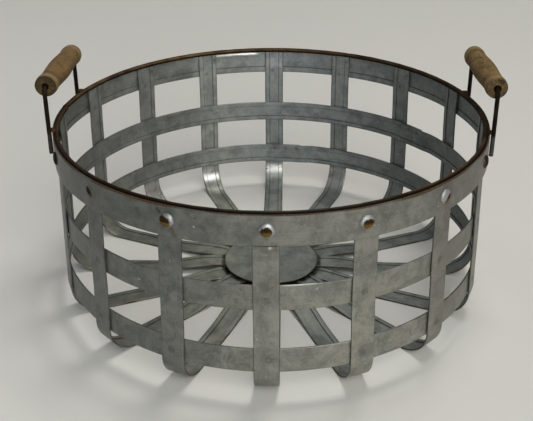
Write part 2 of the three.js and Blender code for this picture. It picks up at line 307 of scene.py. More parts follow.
class ShaderGraph:
    """Node tree of one material, with short ways to add and join nodes."""

    def __init__(self, name: str) -> None:
        """Start a material with a Principled shader.

        Args:
            name: Name of the material.
        """
        self.material = bpy.data.materials.new(name)
        self.material.use_nodes = True
        self.tree = self.material.node_tree
        self.shader = next(node for node in self.tree.nodes if node.type == "BSDF_PRINCIPLED")

    def feed(self, target: Socket, value: object) -> None:
        """Join a socket to another socket, or set its own value."""
        if isinstance(value, bpy.types.NodeSocket):
            self.tree.links.new(value, target)
        else:
            target.default_value = value

    def node(self, kind: str, inputs: dict[str | int, object] | None = None,
             **settings: object) -> bpy.types.Node:
        """New node with its properties set and its inputs fed.

        Args:
            kind: Type of the node.
            inputs: Number, colour or socket for each input, by name or by index.
            settings: Properties of the node.

        Returns:
            The node.
        """
        made = self.tree.nodes.new(kind)
        for key, value in settings.items():
            setattr(made, key, value)
        for key, value in (inputs or {}).items():
            self.feed(made.inputs[key], value)
        return made

    def stretch(self, vector: Socket, scale: Sequence[float]) -> Socket:
        """Vector with each part times its own factor."""
        product = self.node("ShaderNodeVectorMath", {0: vector, 1: tuple(scale)}, operation="MULTIPLY")
        return product.outputs[0]

    def place_vector(self, scale: Sequence[float] = (1, 1, 1), shift: Sequence[float] = (0, 0, 0),
                     turn: float = 0.0) -> Socket:
        """Object coordinates, moved, turned about Z and stretched.

        Args:
            scale: Stretch along each axis.
            shift: Point of the piece that becomes the middle.
            turn: Angle about Z that is taken out.

        Returns:
            Vector socket.
        """
        source = self.node("ShaderNodeTexCoord").outputs["Object"]
        centred = self.node("ShaderNodeVectorMath", {0: source, 1: tuple(shift)}, operation="SUBTRACT")
        turned = self.node(
            "ShaderNodeVectorRotate", {"Vector": centred.outputs[0], "Angle": -turn}, rotation_type="Z_AXIS")
        return self.stretch(turned.outputs[0], scale)

    def strip_vector(self, scale: Sequence[float]) -> Socket:
        """UV along the strip in metres, stretched."""
        return self.stretch(self.node("ShaderNodeUVMap", uv_map=STRIP_MAP).outputs[0], scale)

    def noise(self, vector: Socket, pattern: Noise) -> Socket:
        """Fractal noise from 0 to 1."""
        inputs = {
            "Vector": vector, "Scale": pattern.scale, "Detail": pattern.detail,
            "Roughness": pattern.roughness, "Distortion": pattern.distortion,
        }
        return self.node("ShaderNodeTexNoise", inputs).outputs["Fac"]

    def crystals(self, vector: Socket, scale: float) -> Socket:
        """One random number for each cell of a crystal pattern."""
        cells = self.node("ShaderNodeTexVoronoi", {"Vector": vector, "Scale": scale}, feature="F1")
        return self.node("ShaderNodeSeparateColor", {0: cells.outputs["Color"]}).outputs[0]

    def sum(self, operation: str, first: object, second: object, clamp: bool = False) -> Socket:
        """One sum of two numbers or sockets."""
        made = self.node("ShaderNodeMath", {0: first, 1: second}, operation=operation, use_clamp=clamp)
        return made.outputs[0]

    def plus(self, first: object, second: object, clamp: bool = False) -> Socket:
        """First and second together."""
        return self.sum("ADD", first, second, clamp)

    def minus(self, first: object, second: object) -> Socket:
        """First less second."""
        return self.sum("SUBTRACT", first, second)

    def times(self, first: object, second: object, clamp: bool = False) -> Socket:
        """First times second."""
        return self.sum("MULTIPLY", first, second, clamp)

    def larger(self, first: object, second: object) -> Socket:
        """Larger of the two."""
        return self.sum("MAXIMUM", first, second)

    def ease(self, value: Socket, low: float, high: float, start: float = 0.0, end: float = 1.0) -> Socket:
        """Smooth change from start at low to end at high."""
        inputs = {"Value": value, "From Min": low, "From Max": high, "To Min": start, "To Max": end}
        return self.node("ShaderNodeMapRange", inputs, interpolation_type="SMOOTHSTEP").outputs[0]

    def blend(self, share: object, first: object, second: object, kind: str = "MIX") -> Socket:
        """Colour between two colours."""
        inputs = {MIX_SHARE: share, MIX_FIRST: first, MIX_SECOND: second}
        return self.node("ShaderNodeMix", inputs, data_type="RGBA", blend_type=kind).outputs[MIX_RESULT]

    def tint(self, colour: Socket, factor: Socket) -> Socket:
        """Colour times another colour."""
        return self.blend(1.0, colour, factor, "MULTIPLY")

    def tints(self, spot: Socket, first: Colour, changes: Sequence[TintChange]) -> Socket:
        """Tint along an axis: the first one, and then each change eased in over its own range."""
        colour = first
        for change in changes:
            colour = self.blend(self.ease(spot, change.low, change.high), colour, change.tint)
        return colour

    def parts(self, vector: Socket) -> Sequence[Socket]:
        """First, second and third part of a vector."""
        return self.node("ShaderNodeSeparateXYZ", {0: vector}).outputs

    def layer(self, name: str) -> bpy.types.Node:
        """Attribute of the piece's mesh."""
        return self.node("ShaderNodeAttribute", attribute_name=name, attribute_type="GEOMETRY")

    def wear(self) -> dict[Wear, Socket]:
        """Shares of rust, dirt, bright edge and weld mark, with painted light and shade among them."""
        source = self.layer(WEAR_LAYER)
        red, green, blue = self.node("ShaderNodeSeparateColor", {0: source.outputs["Color"]}).outputs[:3]
        return {Wear.RUST: red, Wear.DIRT: green, Wear.EDGE: blue, Wear.WELD: source.outputs["Alpha"]}

    def shelter(self) -> Socket:
        """Share of painted light on inner faces."""
        return self.layer(SHELTER_LAYER).outputs["Fac"]

    def bump(self, height: Socket, strength: float, distance: float) -> None:
        """Raise the surface by a height pattern."""
        inputs = {"Strength": strength, "Distance": distance, "Height": height}
        self.feed(self.shader.inputs["Normal"], self.node("ShaderNodeBump", inputs).outputs[0])

    def dress(self, **sockets: object) -> bpy.types.Material:
        """Feed the shader's inputs by name, with spaces written as underscores."""
        for key, value in sockets.items():
            self.feed(self.shader.inputs[key.replace("_", " ")], value)
        return self.material


@dataclass(frozen=True)
class ZincFinish:
    """Weathered zinc coat: soft crystals, cloudy patches, dirt and painted shade in folds, rust where cut.

    The tone is a weighted sum of clouds, crystals, rolling lines and grain. Outer faces and inner faces each
    have painted light and shade: tints that change from left to right and from the base up. Inner faces also
    get lighter copies of the zinc as painted light, and bright edges carry painted highlights.
    """

    dark: Colour = (0.116, 0.123, 0.120, 1.0)
    light: Colour = (0.222, 0.227, 0.215, 1.0)
    # Lighter copies of dark and light for inner faces: painted light.
    clean_dark: Colour = (0.180, 0.194, 0.190, 1.0)
    clean_light: Colour = (0.326, 0.342, 0.336, 1.0)
    frost: Colour = (0.300, 0.315, 0.308, 1.0)
    # Dark colour for dirt, weld scorch and painted shade.
    grime: Colour = (0.020, 0.020, 0.018, 1.0)
    rust_dark: Colour = (0.026, 0.013, 0.005, 1.0)
    rust_light: Colour = (0.082, 0.046, 0.015, 1.0)
    stain: Colour = (0.080, 0.058, 0.031, 1.0)
    # Light colour for bright edges, specks, painted highlights and painted light.
    polish: Colour = (0.70, 0.69, 0.655, 1.0)
    # Painted light and shade by place: tints for outer faces across and up, then the same for inner faces.
    outer_left: Colour = (0.78, 0.79, 0.765, 1.0)
    outer_rightward: tuple[TintChange, ...] = (
        TintChange(-0.11, 0.085, (1.25, 1.20, 1.085, 1.0)),
        TintChange(0.115, 0.14, (0.95, 0.90, 0.80, 1.0)),
    )
    outer_low: Colour = (1.12, 1.11, 1.09, 1.0)
    outer_upward: tuple[TintChange, ...] = (TintChange(0.05, 0.15, (0.89, 0.89, 0.89, 1.0)),)
    inner_left: Colour = (0.82, 0.80, 0.75, 1.0)
    inner_rightward: tuple[TintChange, ...] = (
        TintChange(-0.098, -0.076, (1.20, 1.17, 1.10, 1.0)),
        TintChange(-0.06, 0.0, (1.00, 1.03, 1.04, 1.0)),
        TintChange(0.05, 0.17, (0.93, 0.97, 0.99, 1.0)),
    )
    inner_low: Colour = (0.95, 0.96, 0.885, 1.0)
    inner_upward: tuple[TintChange, ...] = (TintChange(0.012, 0.03, (1.0, 1.0, 1.0, 1.0)),)
    clouds: Noise = Noise(62.0, 6.0, 0.62, 0.5)
    rolling: Noise = Noise(1.0, 3.0, 0.5)
    rolling_stretch: Triple = (25.0, 900.0, 1.0)
    grain: Noise = Noise(520.0, 6.0, 0.7)
    swirls: Noise = Noise(44.0, 5.0, 0.68, 1.8)
    specks: Noise = Noise(240.0, 2.0)
    soil: Noise = Noise(210.0, 3.0, 0.6)
    scorch: Noise = Noise(700.0, 2.0)
    flakes: Noise = Noise(900.0, 4.0)
    crystal_scale: float = 210.0
    cloud_share: float = 0.58
    crystal_share: float = 0.07
    rolling_share: float = 0.10
    grain_share: float = 0.25
    sheen: float = 0.55
    relief_strength: float = 0.22
    relief_depth: float = 0.0006

    def material(self, name: str) -> bpy.types.Material:
        """Build the finish.

        Args:
            name: Name of the material.

        Returns:
            The material.
        """
        graph = ShaderGraph(name)
        spot = graph.place_vector()
        wear = graph.wear()
        shelter = graph.shelter()
        clouds = graph.noise(spot, self.clouds)
        crystals = graph.crystals(spot, self.crystal_scale)
        rolled = graph.noise(graph.strip_vector(self.rolling_stretch), self.rolling)
        grain = graph.noise(spot, self.grain)
        tone = graph.times(clouds, self.cloud_share)
        tone = graph.plus(tone, graph.times(crystals, self.crystal_share))
        tone = graph.plus(tone, graph.times(rolled, self.rolling_share))
        tone = graph.plus(tone, graph.times(grain, self.grain_share))
        # Inner faces blend towards the lighter copies: painted light.
        low = graph.blend(shelter, self.dark, self.clean_dark)
        high = graph.blend(shelter, self.light, self.clean_light)
        zinc = graph.blend(graph.ease(tone, 0.36, 0.64), low, high)
        frosted = graph.ease(graph.noise(spot, self.swirls), 0.54, 0.74, 0.0, 0.5)
        zinc = graph.blend(frosted, zinc, self.frost)
        # Painted light and shade by place, on outer and inner faces.
        zinc = graph.tint(zinc, self.place_tint(graph, spot, shelter))
        specks = graph.ease(graph.noise(spot, self.specks), 0.70, 0.79, 0.0, 0.45)
        # Bright edges, specks, painted highlights on strap bends and the band's ridge, and painted light
        # inside.
        bright = graph.larger(graph.times(wear[Wear.EDGE], 0.8), specks)
        zinc = graph.blend(bright, zinc, self.polish)
        soil = graph.ease(graph.noise(spot, self.soil), 0.15, 0.6, 0.55, 1.0)
        # The dirt channel also holds painted shade in creases, round the disc and under the rim wire.
        dirt = graph.times(wear[Wear.DIRT], soil)
        scorch = graph.ease(graph.noise(spot, self.scorch), 0.3, 0.6, 0.35, 1.0)
        weld = graph.times(wear[Wear.WELD], scorch)
        zinc = graph.blend(graph.larger(dirt, weld), zinc, self.grime)
        zinc = graph.blend(graph.ease(wear[Wear.RUST], 0.02, 0.6, 0.0, 0.75), zinc, self.stain)
        level = graph.plus(wear[Wear.RUST], graph.times(graph.minus(grain, 0.5), 0.9))
        rusted = graph.times(graph.ease(level, 0.32, 0.62), graph.ease(wear[Wear.RUST], 0.0, 0.1))
        flakes = graph.ease(graph.noise(spot, self.flakes), 0.35, 0.65)
        colour = graph.blend(rusted, zinc, graph.blend(flakes, self.rust_dark, self.rust_light))
        gloss = graph.ease(graph.plus(clouds, graph.times(crystals, 0.3)), 0.3, 1.0, 0.36, 0.56)
        gloss = graph.minus(gloss, graph.times(wear[Wear.EDGE], 0.14))
        rough = graph.plus(gloss, graph.times(rusted, 0.35), clamp=True)
        sheen = graph.plus(graph.times(wear[Wear.EDGE], 0.35), self.sheen)
        metal = graph.times(sheen, graph.ease(rusted, 0.0, 1.0, 1.0, 0.1), clamp=True)
        relief = graph.plus(graph.times(grain, 0.5), graph.times(clouds, 1.6))
        relief = graph.times(relief, graph.ease(wear[Wear.EDGE], 0.1, 0.6, 1.0, 0.08))
        graph.bump(relief, self.relief_strength, self.relief_depth)
        return graph.dress(Base_Color=colour, Roughness=rough, Metallic=metal)

    def place_tint(self, graph: ShaderGraph, spot: Socket, shelter: Socket) -> Socket:
        """Painted light and shade by place, for outer faces and for inner ones.

        Args:
            graph: Graph of the finish.
            spot: Object coordinates.
            shelter: Share of painted light on inner faces.

        Returns:
            Colour of painted light and shade to multiply the zinc by.
        """
        right, _, up = graph.parts(spot)
        outer = graph.tints(right, self.outer_left, self.outer_rightward)
        outer = graph.tint(outer, graph.tints(up, self.outer_low, self.outer_upward))
        inner = graph.tints(right, self.inner_left, self.inner_rightward)
        inner = graph.tint(inner, graph.tints(up, self.inner_low, self.inner_upward))
        return graph.blend(graph.ease(shelter, 0.0, 0.04), outer, inner)


@dataclass(frozen=True)
class RustyWireFinish:
    """Bare wire under dark brown rust, with orange specks and worn places.

    Its gold and grey colours also serve as painted highlights, and its soot as painted shade.
    """

    deep: Colour = (0.0045, 0.0028, 0.0018, 1.0)
    brown: Colour = (0.021, 0.0105, 0.0045, 1.0)
    # Rust colour, also a painted highlight on the rim's crown and the bow's lit side.
    gold: Colour = (0.165, 0.094, 0.038, 1.0)
    # Worn metal colour, also a painted highlight on the rim's front crown.
    bare: Colour = (0.100, 0.098, 0.092, 1.0)
    # Dark rust colour, also painted shade in the rim's groove and underside.
    soot: Colour = (0.0027, 0.0012, 0.0007, 1.0)
    patches: Noise = Noise(90.0, 5.0, 0.65)
    specks: Noise = Noise(620.0, 4.0, 0.7)
    specular: float = 0.09
    relief_strength: float = 0.5
    relief_depth: float = 0.0006

    def material(self, name: str) -> bpy.types.Material:
        """Build the finish.

        Args:
            name: Name of the material.

        Returns:
            The material.
        """
        graph = ShaderGraph(name)
        spot = graph.place_vector()
        wear = graph.wear()
        patches = graph.noise(spot, self.patches)
        specks = graph.noise(spot, self.specks)
        colour = graph.blend(graph.ease(patches, 0.32, 0.62), self.deep, self.brown)
        # The rust channel brings gold rust and painted highlights; specks add orange.
        golden = graph.times(wear[Wear.RUST], graph.ease(patches, 0.28, 0.6, 0.45, 1.0))
        golden = graph.larger(golden, graph.ease(specks, 0.60, 0.74, 0.0, 0.45))
        colour = graph.blend(golden, colour, self.gold)
        bare = graph.times(wear[Wear.EDGE], graph.ease(patches, 0.25, 0.55, 0.45, 1.0))
        colour = graph.blend(bare, colour, self.bare)
        # The dirt channel brings dark rust and painted shade.
        colour = graph.blend(wear[Wear.DIRT], colour, self.soot)
        rough = graph.ease(specks, 0.2, 0.8, 0.52, 0.86)
        metal = graph.ease(bare, 0.0, 1.0, 0.0, 0.8)
        graph.bump(graph.plus(specks, patches), self.relief_strength, self.relief_depth)
        return graph.dress(
            Base_Color=colour, Roughness=rough, Metallic=metal, Specular_IOR_Level=self.specular)


@dataclass(frozen=True)
class RivetFinish:
    """Bright steel dome with rust in its lower half."""

    steel: Colour = (0.57, 0.58, 0.59, 1.0)
    dull: Colour = (0.44, 0.44, 0.43, 1.0)
    weathered: Colour = (0.125, 0.131, 0.126, 1.0)
    rust_dark: Colour = (0.017, 0.0085, 0.003, 1.0)
    rust_light: Colour = (0.120, 0.069, 0.016, 1.0)
    blots: Noise = Noise(430.0, 5.0, 0.65)
    fine: Noise = Noise(900.0, 4.0, 0.6)
    specular: float = 0.12
    relief_strength: float = 0.3
    relief_depth: float = 0.0004

    def material(self, name: str) -> bpy.types.Material:
        """Build the finish.

        Args:
            name: Name of the material.

        Returns:
            The material.
        """
        graph = ShaderGraph(name)
        spot = graph.place_vector()
        wear = graph.wear()
        blots = graph.noise(spot, self.blots)
        fine = graph.noise(spot, self.fine)
        steel = graph.blend(graph.ease(fine, 0.35, 0.7), self.steel, self.dull)
        steel = graph.blend(wear[Wear.DIRT], steel, self.weathered)
        level = graph.plus(wear[Wear.RUST], graph.times(graph.minus(blots, 0.5), 1.3))
        rust = graph.ease(level, 0.10, 0.66)
        heart = graph.plus(graph.times(graph.minus(fine, 0.5), 1.2), 0.95)
        heart = graph.minus(heart, graph.times(wear[Wear.EDGE], 0.6))
        brown = graph.blend(graph.ease(heart, 0.50, 1.0), self.rust_light, self.rust_dark)
        colour = graph.blend(rust, steel, brown)
        rough = graph.plus(graph.ease(rust, 0.0, 1.0, 0.37, 0.75), graph.times(fine, 0.1))
        rough = graph.plus(rough, graph.times(wear[Wear.DIRT], 0.12))
        metal = graph.ease(rust, 0.0, 1.0, 0.85, 0.05)
        metal = graph.times(metal, graph.ease(wear[Wear.DIRT], 0.0, 1.0, 1.0, 0.6))
        graph.bump(graph.plus(fine, rust), self.relief_strength, self.relief_depth)
        return graph.dress(
            Base_Color=colour, Roughness=rough, Metallic=metal, Specular_IOR_Level=self.specular)


@dataclass(frozen=True)
class TimberFinish:
    """Bare turned wood: fibres along the grip, turning marks round it, worn pale and soiled dark."""

    tan: Colour = (0.236, 0.150, 0.059, 1.0)
    pale: Colour = (0.300, 0.205, 0.095, 1.0)
    brown: Colour = (0.070, 0.041, 0.014, 1.0)
    soot: Colour = (0.012, 0.009, 0.005, 1.0)
    evenness: float = 0.15
    turning_marks: float = 0.3
    mottling: float = 0.72
    soiling: float = 0.6
    open_pores: float = 0.8
    fibres: Noise = Noise(2.2, 6.0, 0.62, 0.4)
    fibre_stretch: Triple = (9.0, 150.0, 150.0)
    patches: Noise = Noise(85.0, 6.0, 0.66, 0.6)
    soil: Noise = Noise(47.0, 4.0, 0.6)
    marks: Noise = Noise(1.0, 4.0, 0.6)
    mark_stretch: Triple = (560.0, 30.0, 30.0)
    mottle: Noise = Noise(480.0, 3.0, 0.6)
    pores: Noise = Noise(1.0, 4.0, 0.65)
    pore_stretch: Triple = (140.0, 700.0, 700.0)
    specular: float = 0.2
    relief_strength: float = 0.45
    relief_depth: float = 0.0007

    def material(self, name: str, middle: Vector, turn: float) -> bpy.types.Material:
        """Build the finish for one grip.

        Args:
            name: Name of the material.
            middle: Middle of the grip in metres.
            turn: Angle about Z from X to the grip's axis.

        Returns:
            The material.
        """
        graph = ShaderGraph(name)
        wear = graph.wear()
        spot = graph.place_vector((1.0, 1.0, 1.0), middle, turn)
        fibres = graph.noise(graph.place_vector(self.fibre_stretch, middle, turn), self.fibres)
        patches = graph.noise(spot, self.patches)
        soil = graph.noise(spot, self.soil)
        marks = graph.noise(graph.place_vector(self.mark_stretch, middle, turn), self.marks)
        mottle = graph.noise(spot, self.mottle)
        pores = graph.noise(graph.place_vector(self.pore_stretch, middle, turn), self.pores)
        colour = graph.blend(graph.ease(patches, 0.34, 0.62, self.evenness, 1.0), self.brown, self.tan)
        colour = graph.blend(graph.ease(fibres, 0.5, 0.75, 0.0, 0.6), colour, self.pale)
        colour = graph.blend(graph.ease(marks, 0.52, 0.70, 0.0, self.turning_marks), colour, self.brown)
        colour = graph.blend(graph.ease(soil, 0.52, 0.72, 0.0, self.soiling), colour, self.brown)
        colour = graph.blend(graph.ease(mottle, 0.48, 0.66, 0.0, self.mottling), colour, self.brown)
        colour = graph.blend(graph.ease(pores, 0.58, 0.72, 0.0, self.open_pores), colour, self.soot)
        colour = graph.blend(graph.times(wear[Wear.EDGE], 0.55), colour, self.pale)
        dirt = graph.times(wear[Wear.DIRT], graph.ease(patches, 0.2, 0.7, 1.0, 0.7))
        colour = graph.blend(dirt, colour, self.soot)
        rough = graph.ease(fibres, 0.2, 0.8, 0.62, 0.86)
        relief = graph.plus(fibres, graph.times(marks, self.turning_marks))
        relief = graph.minus(relief, graph.times(pores, 0.4))
        graph.bump(relief, self.relief_strength, self.relief_depth)
        return graph.dress(Base_Color=colour, Roughness=rough, Specular_IOR_Level=self.specular)


@dataclass(frozen=True)
class FloorFinish:
    """Plain pale table top."""

    pale: Colour = (0.665, 0.652, 0.615, 1.0)
    roughness: float = 0.55

    def material(self, name: str) -> bpy.types.Material:
        """Build the finish."""
        return ShaderGraph(name).dress(Base_Color=self.pale, Roughness=self.roughness)


@dataclass(frozen=True)
class Wall:
    """Sizes that the strips of the flared wall share."""

    radius: float = 190.2
    flare: float = math.radians(1.4)
    rim_height: float = 163.0
    strap_count: int = 16
    strap_width: float = 20.0
    sheet: float = 0.7
    hem: float = 4.6
    hem_gap: float = 0.1
    clearance: float = 0.3
    bend_radius: float = 24.5
    hoop_width: float = 21.5
    lower_hoop_gap: float = 0.6
    band_width: float = 27.0
    band_hem: float = 6.0
    band_lip: float = 0.8
    rim_wire: float = 4.5
    rim_sag: float = 1.3
    ring_facets: int = 72
    rivet_height: float = 150.6
    base_rise: float = 5.5
    disc_radius: float = 45.2
    # Painted light on inner faces: its least share, and the turn that sets where it is largest.
    least_shelter: float = 0.1
    shelter_turn: float = 0.35

    @property
    def thickness(self) -> float:
        """Thickness of a strip at a folded edge."""
        return 2.0 * self.sheet + self.hem_gap

    @property
    def pitch(self) -> float:
        """Angle between neighbouring straps."""
        return TURN / self.strap_count

    @property
    def bend_top(self) -> float:
        """Height where a strap's bend starts."""
        return self.bend_radius * (1.0 + math.sin(self.flare))

    @property
    def band_offset(self) -> float:
        """Distance from the straps' outer face to the band's outer face."""
        flat = math.hypot(self.radius, self.strap_width / 2) / math.cos(math.pi / self.ring_facets)
        return flat - self.radius + self.clearance + self.thickness

    @property
    def band_middle(self) -> float:
        """Height of the band's middle line."""
        return self.rim_height + self.band_lip - self.band_width / 2

    @property
    def lower_hoop(self) -> float:
        """Height of the lower hoop's middle line."""
        return self.bend_top + self.lower_hoop_gap + self.hoop_width / 2

    @property
    def middle_hoop(self) -> float:
        """Height of the middle hoop's middle line."""
        band_bottom = self.band_middle - self.band_width / 2
        return (band_bottom + self.lower_hoop + self.hoop_width / 2) / 2

    def radius_at(self, height: Array | float) -> Array | float:
        """Radius of the straps' outer face at a height."""
        return self.radius + (self.rim_height - height) * math.tan(self.flare)

    def sag_at(self, angle: Array | float) -> Array:
        """How far the rim hangs below its height, most at the front and nothing at the back."""
        return self.rim_sag * (1.0 + np.cos(angle)) / 2

    def shelter_at(self, angle: Array | float) -> Array:
        """Share of painted light, a lighter colour, on inner faces, largest at the back."""
        facing = -np.cos(np.asarray(angle) - self.shelter_turn)
        return self.least_shelter + (1.0 - self.least_shelter) * smoothstep(facing, 0.3, 0.9)

    def ring_points(self, profile: Array, angle: Array, height: float, inset: Array,
                    dent: Array | float = 0.0) -> Array:
        """Carry a strip profile round the wall.

        A point lies at the wall's radius and height, moved down the wall by its place across the strip
        and inwards by its depth, the inset and the dent.

        Args:
            profile: Points × 2: across, growing downwards, and depth, growing inwards.
            angle: Angle of each station.
            height: Height of the strip's middle line.
            inset: Depth of the strip's outer face at each station.
            dent: Further depth of each point, stations × points.

        Returns:
            Stations × points × 3.
        """
        across = profile[None, :, 0]
        depth = profile[None, :, 1] + np.asarray(inset, float)[:, None] + dent
        radius = self.radius_at(height) + across * math.sin(self.flare) - depth * math.cos(self.flare)
        level = height - across * math.cos(self.flare) - depth * math.sin(self.flare)
        return cylinder_points(radius, angle[:, None], level)


@dataclass(frozen=True)
class StripProfile:
    """Closed outline of a folded strip, with the crease dirt and painted shade and the polishing of each
    point.
    """

    points: Array
    dirt: Array
    edge: Array

    @property
    def across(self) -> Array:
        """Place of each point across the strip, as one row."""
        return self.points[None, :, 0]

    @property
    def depth(self) -> Array:
        """Depth of each point inwards, as one row."""
        return self.points[None, :, 1]

    def inner_side(self, wall: Wall) -> Array:
        """Whether each point lies deeper than half the sheet, as one row."""
        return self.depth > 0.5 * wall.sheet

    @staticmethod
    def folded_half(width: float, hem: float, wall: Wall, steps: int) -> tuple[Array, Array, Array]:
        """Half an outline, from the middle of the outer face round the fold to the inner face.

        The outer face is straight, the fold is half a circle as thick as the two layers, and the hem
        lies on the inner face with a narrow gap under its cut edge.

        Args:
            width: Width of the strip.
            hem: Width of the folded edge.
            wall: Shared sizes.
            steps: Number of points on the outer face.

        Returns:
            Points, crease dirt and painted shade, and polishing.
        """
        half = width / 2
        fold = wall.thickness / 2
        cut = half - hem
        outer_x = np.linspace(0.0, 1.0, steps) ** 1.35 * (half - fold)
        outer = np.stack([outer_x, np.zeros(steps)], axis=1)
        turn = np.linspace(-math.pi / 2, math.pi / 2, 9)[1:]
        round_edge = np.stack([half - fold + fold * np.cos(turn), fold + fold * np.sin(turn)], axis=1)
        top = wall.thickness
        layer = wall.sheet + wall.hem_gap
        burr = 0.12
        tuck = 0.7
        hem_face = np.array([
            [half - 0.55 * hem, top], [cut + 0.5, top], [cut + burr, top], [cut, top - burr],
            [cut, layer], [cut + tuck, layer], [cut + tuck, wall.sheet], [cut - burr, wall.sheet],
        ])
        inner_x = np.concatenate([[cut - 0.55, cut - 1.2], np.linspace(cut - 2.0, 0.0, max(3, steps // 2))])
        inner = np.stack([inner_x, np.full(len(inner_x), wall.sheet)], axis=1)
        points = np.concatenate([outer, round_edge, hem_face, inner])
        before = len(outer) + len(round_edge)
        dirt = np.zeros(len(points))
        # The hem's cut edge and the crease beside it are darkened: dirt and painted crease shade.
        dirt[before + 1:before + 11] = [0.0, 0.25, 0.6, 1.0, 1.0, 1.0, 0.95, 0.55, 0.0, 0.0]
        edge = np.zeros(len(points))
        edge[len(outer):before] = np.sin(np.linspace(0.25, math.pi - 0.25, before - len(outer)))
        return points, dirt, edge

    @classmethod
    def hemmed(cls, width: float, hem: float, wall: Wall, steps: int = 14) -> StripProfile:
        """Strip with both long edges folded onto its inner face.

        Args:
            width: Width of the strip.
            hem: Width of each folded edge.
            wall: Shared sizes.
            steps: Number of points on half the outer face.

        Returns:
            Outline that runs anticlockwise with across to the right and depth upwards.
        """
        points, dirt, edge = cls.folded_half(width, hem, wall, steps)
        mirrored = points[-2:0:-1] * np.array([-1.0, 1.0])
        return cls(
            np.concatenate([points, mirrored]),
            np.concatenate([dirt, dirt[-2:0:-1]]),
            np.concatenate([edge, edge[-2:0:-1]]),
        )

    @classmethod
    def banded(cls, width: float, hem: float, wall: Wall, steps: int = 14) -> StripProfile:
        """Strip with only its lower edge folded and its upper edge cut square.

        Args:
            width: Width of the strip.
            hem: Width of the folded edge.
            wall: Shared sizes.
            steps: Number of points on half the outer face.

        Returns:
            Outline as for a hemmed strip, with the upper edge at negative across.
        """
        points, dirt, edge = cls.folded_half(width, hem, wall, steps)
        half = width / 2
        rows = np.concatenate([[0.15, 0.5, 0.9, 1.4, 2.0, 2.7, 3.4], np.linspace(4.2, half, steps)[:-1]])
        upper_inner = np.stack([-half + rows[::-1], np.full(len(rows), wall.sheet)], axis=1)
        corner = np.array([[-half, wall.sheet - 0.15], [-half, 0.15]])
        upper_outer = np.stack([-half + rows, np.zeros(len(rows))], axis=1)
        extra = np.concatenate([upper_inner, corner, upper_outer])
        return cls(
            np.concatenate([points, extra]),
            np.concatenate([dirt, np.zeros(len(extra))]),
            np.concatenate([edge, np.zeros(len(extra))]),
        )


@dataclass(frozen=True)
class SpotWeld:
    """Mark of a spot weld: bell curves about a ring and about its heart, by the distance from its middle."""

    ring: float
    ring_width: float
    ring_share: float
    heart_width: float = 1.0
    heart_share: float = 0.0

    def mark(self, away: Array) -> Array:
        """Strength of the mark at each distance."""
        ring = self.ring_share * bell(away - self.ring, self.ring_width)
        return ring + self.heart_share * bell(away, self.heart_width)


@dataclass(frozen=True)
class StrapLine:
    """Line of a strap's outer face: radius, height, lean and distance along it at each station."""

    radius: Array
    height: Array
    lean: Array
    along: Array


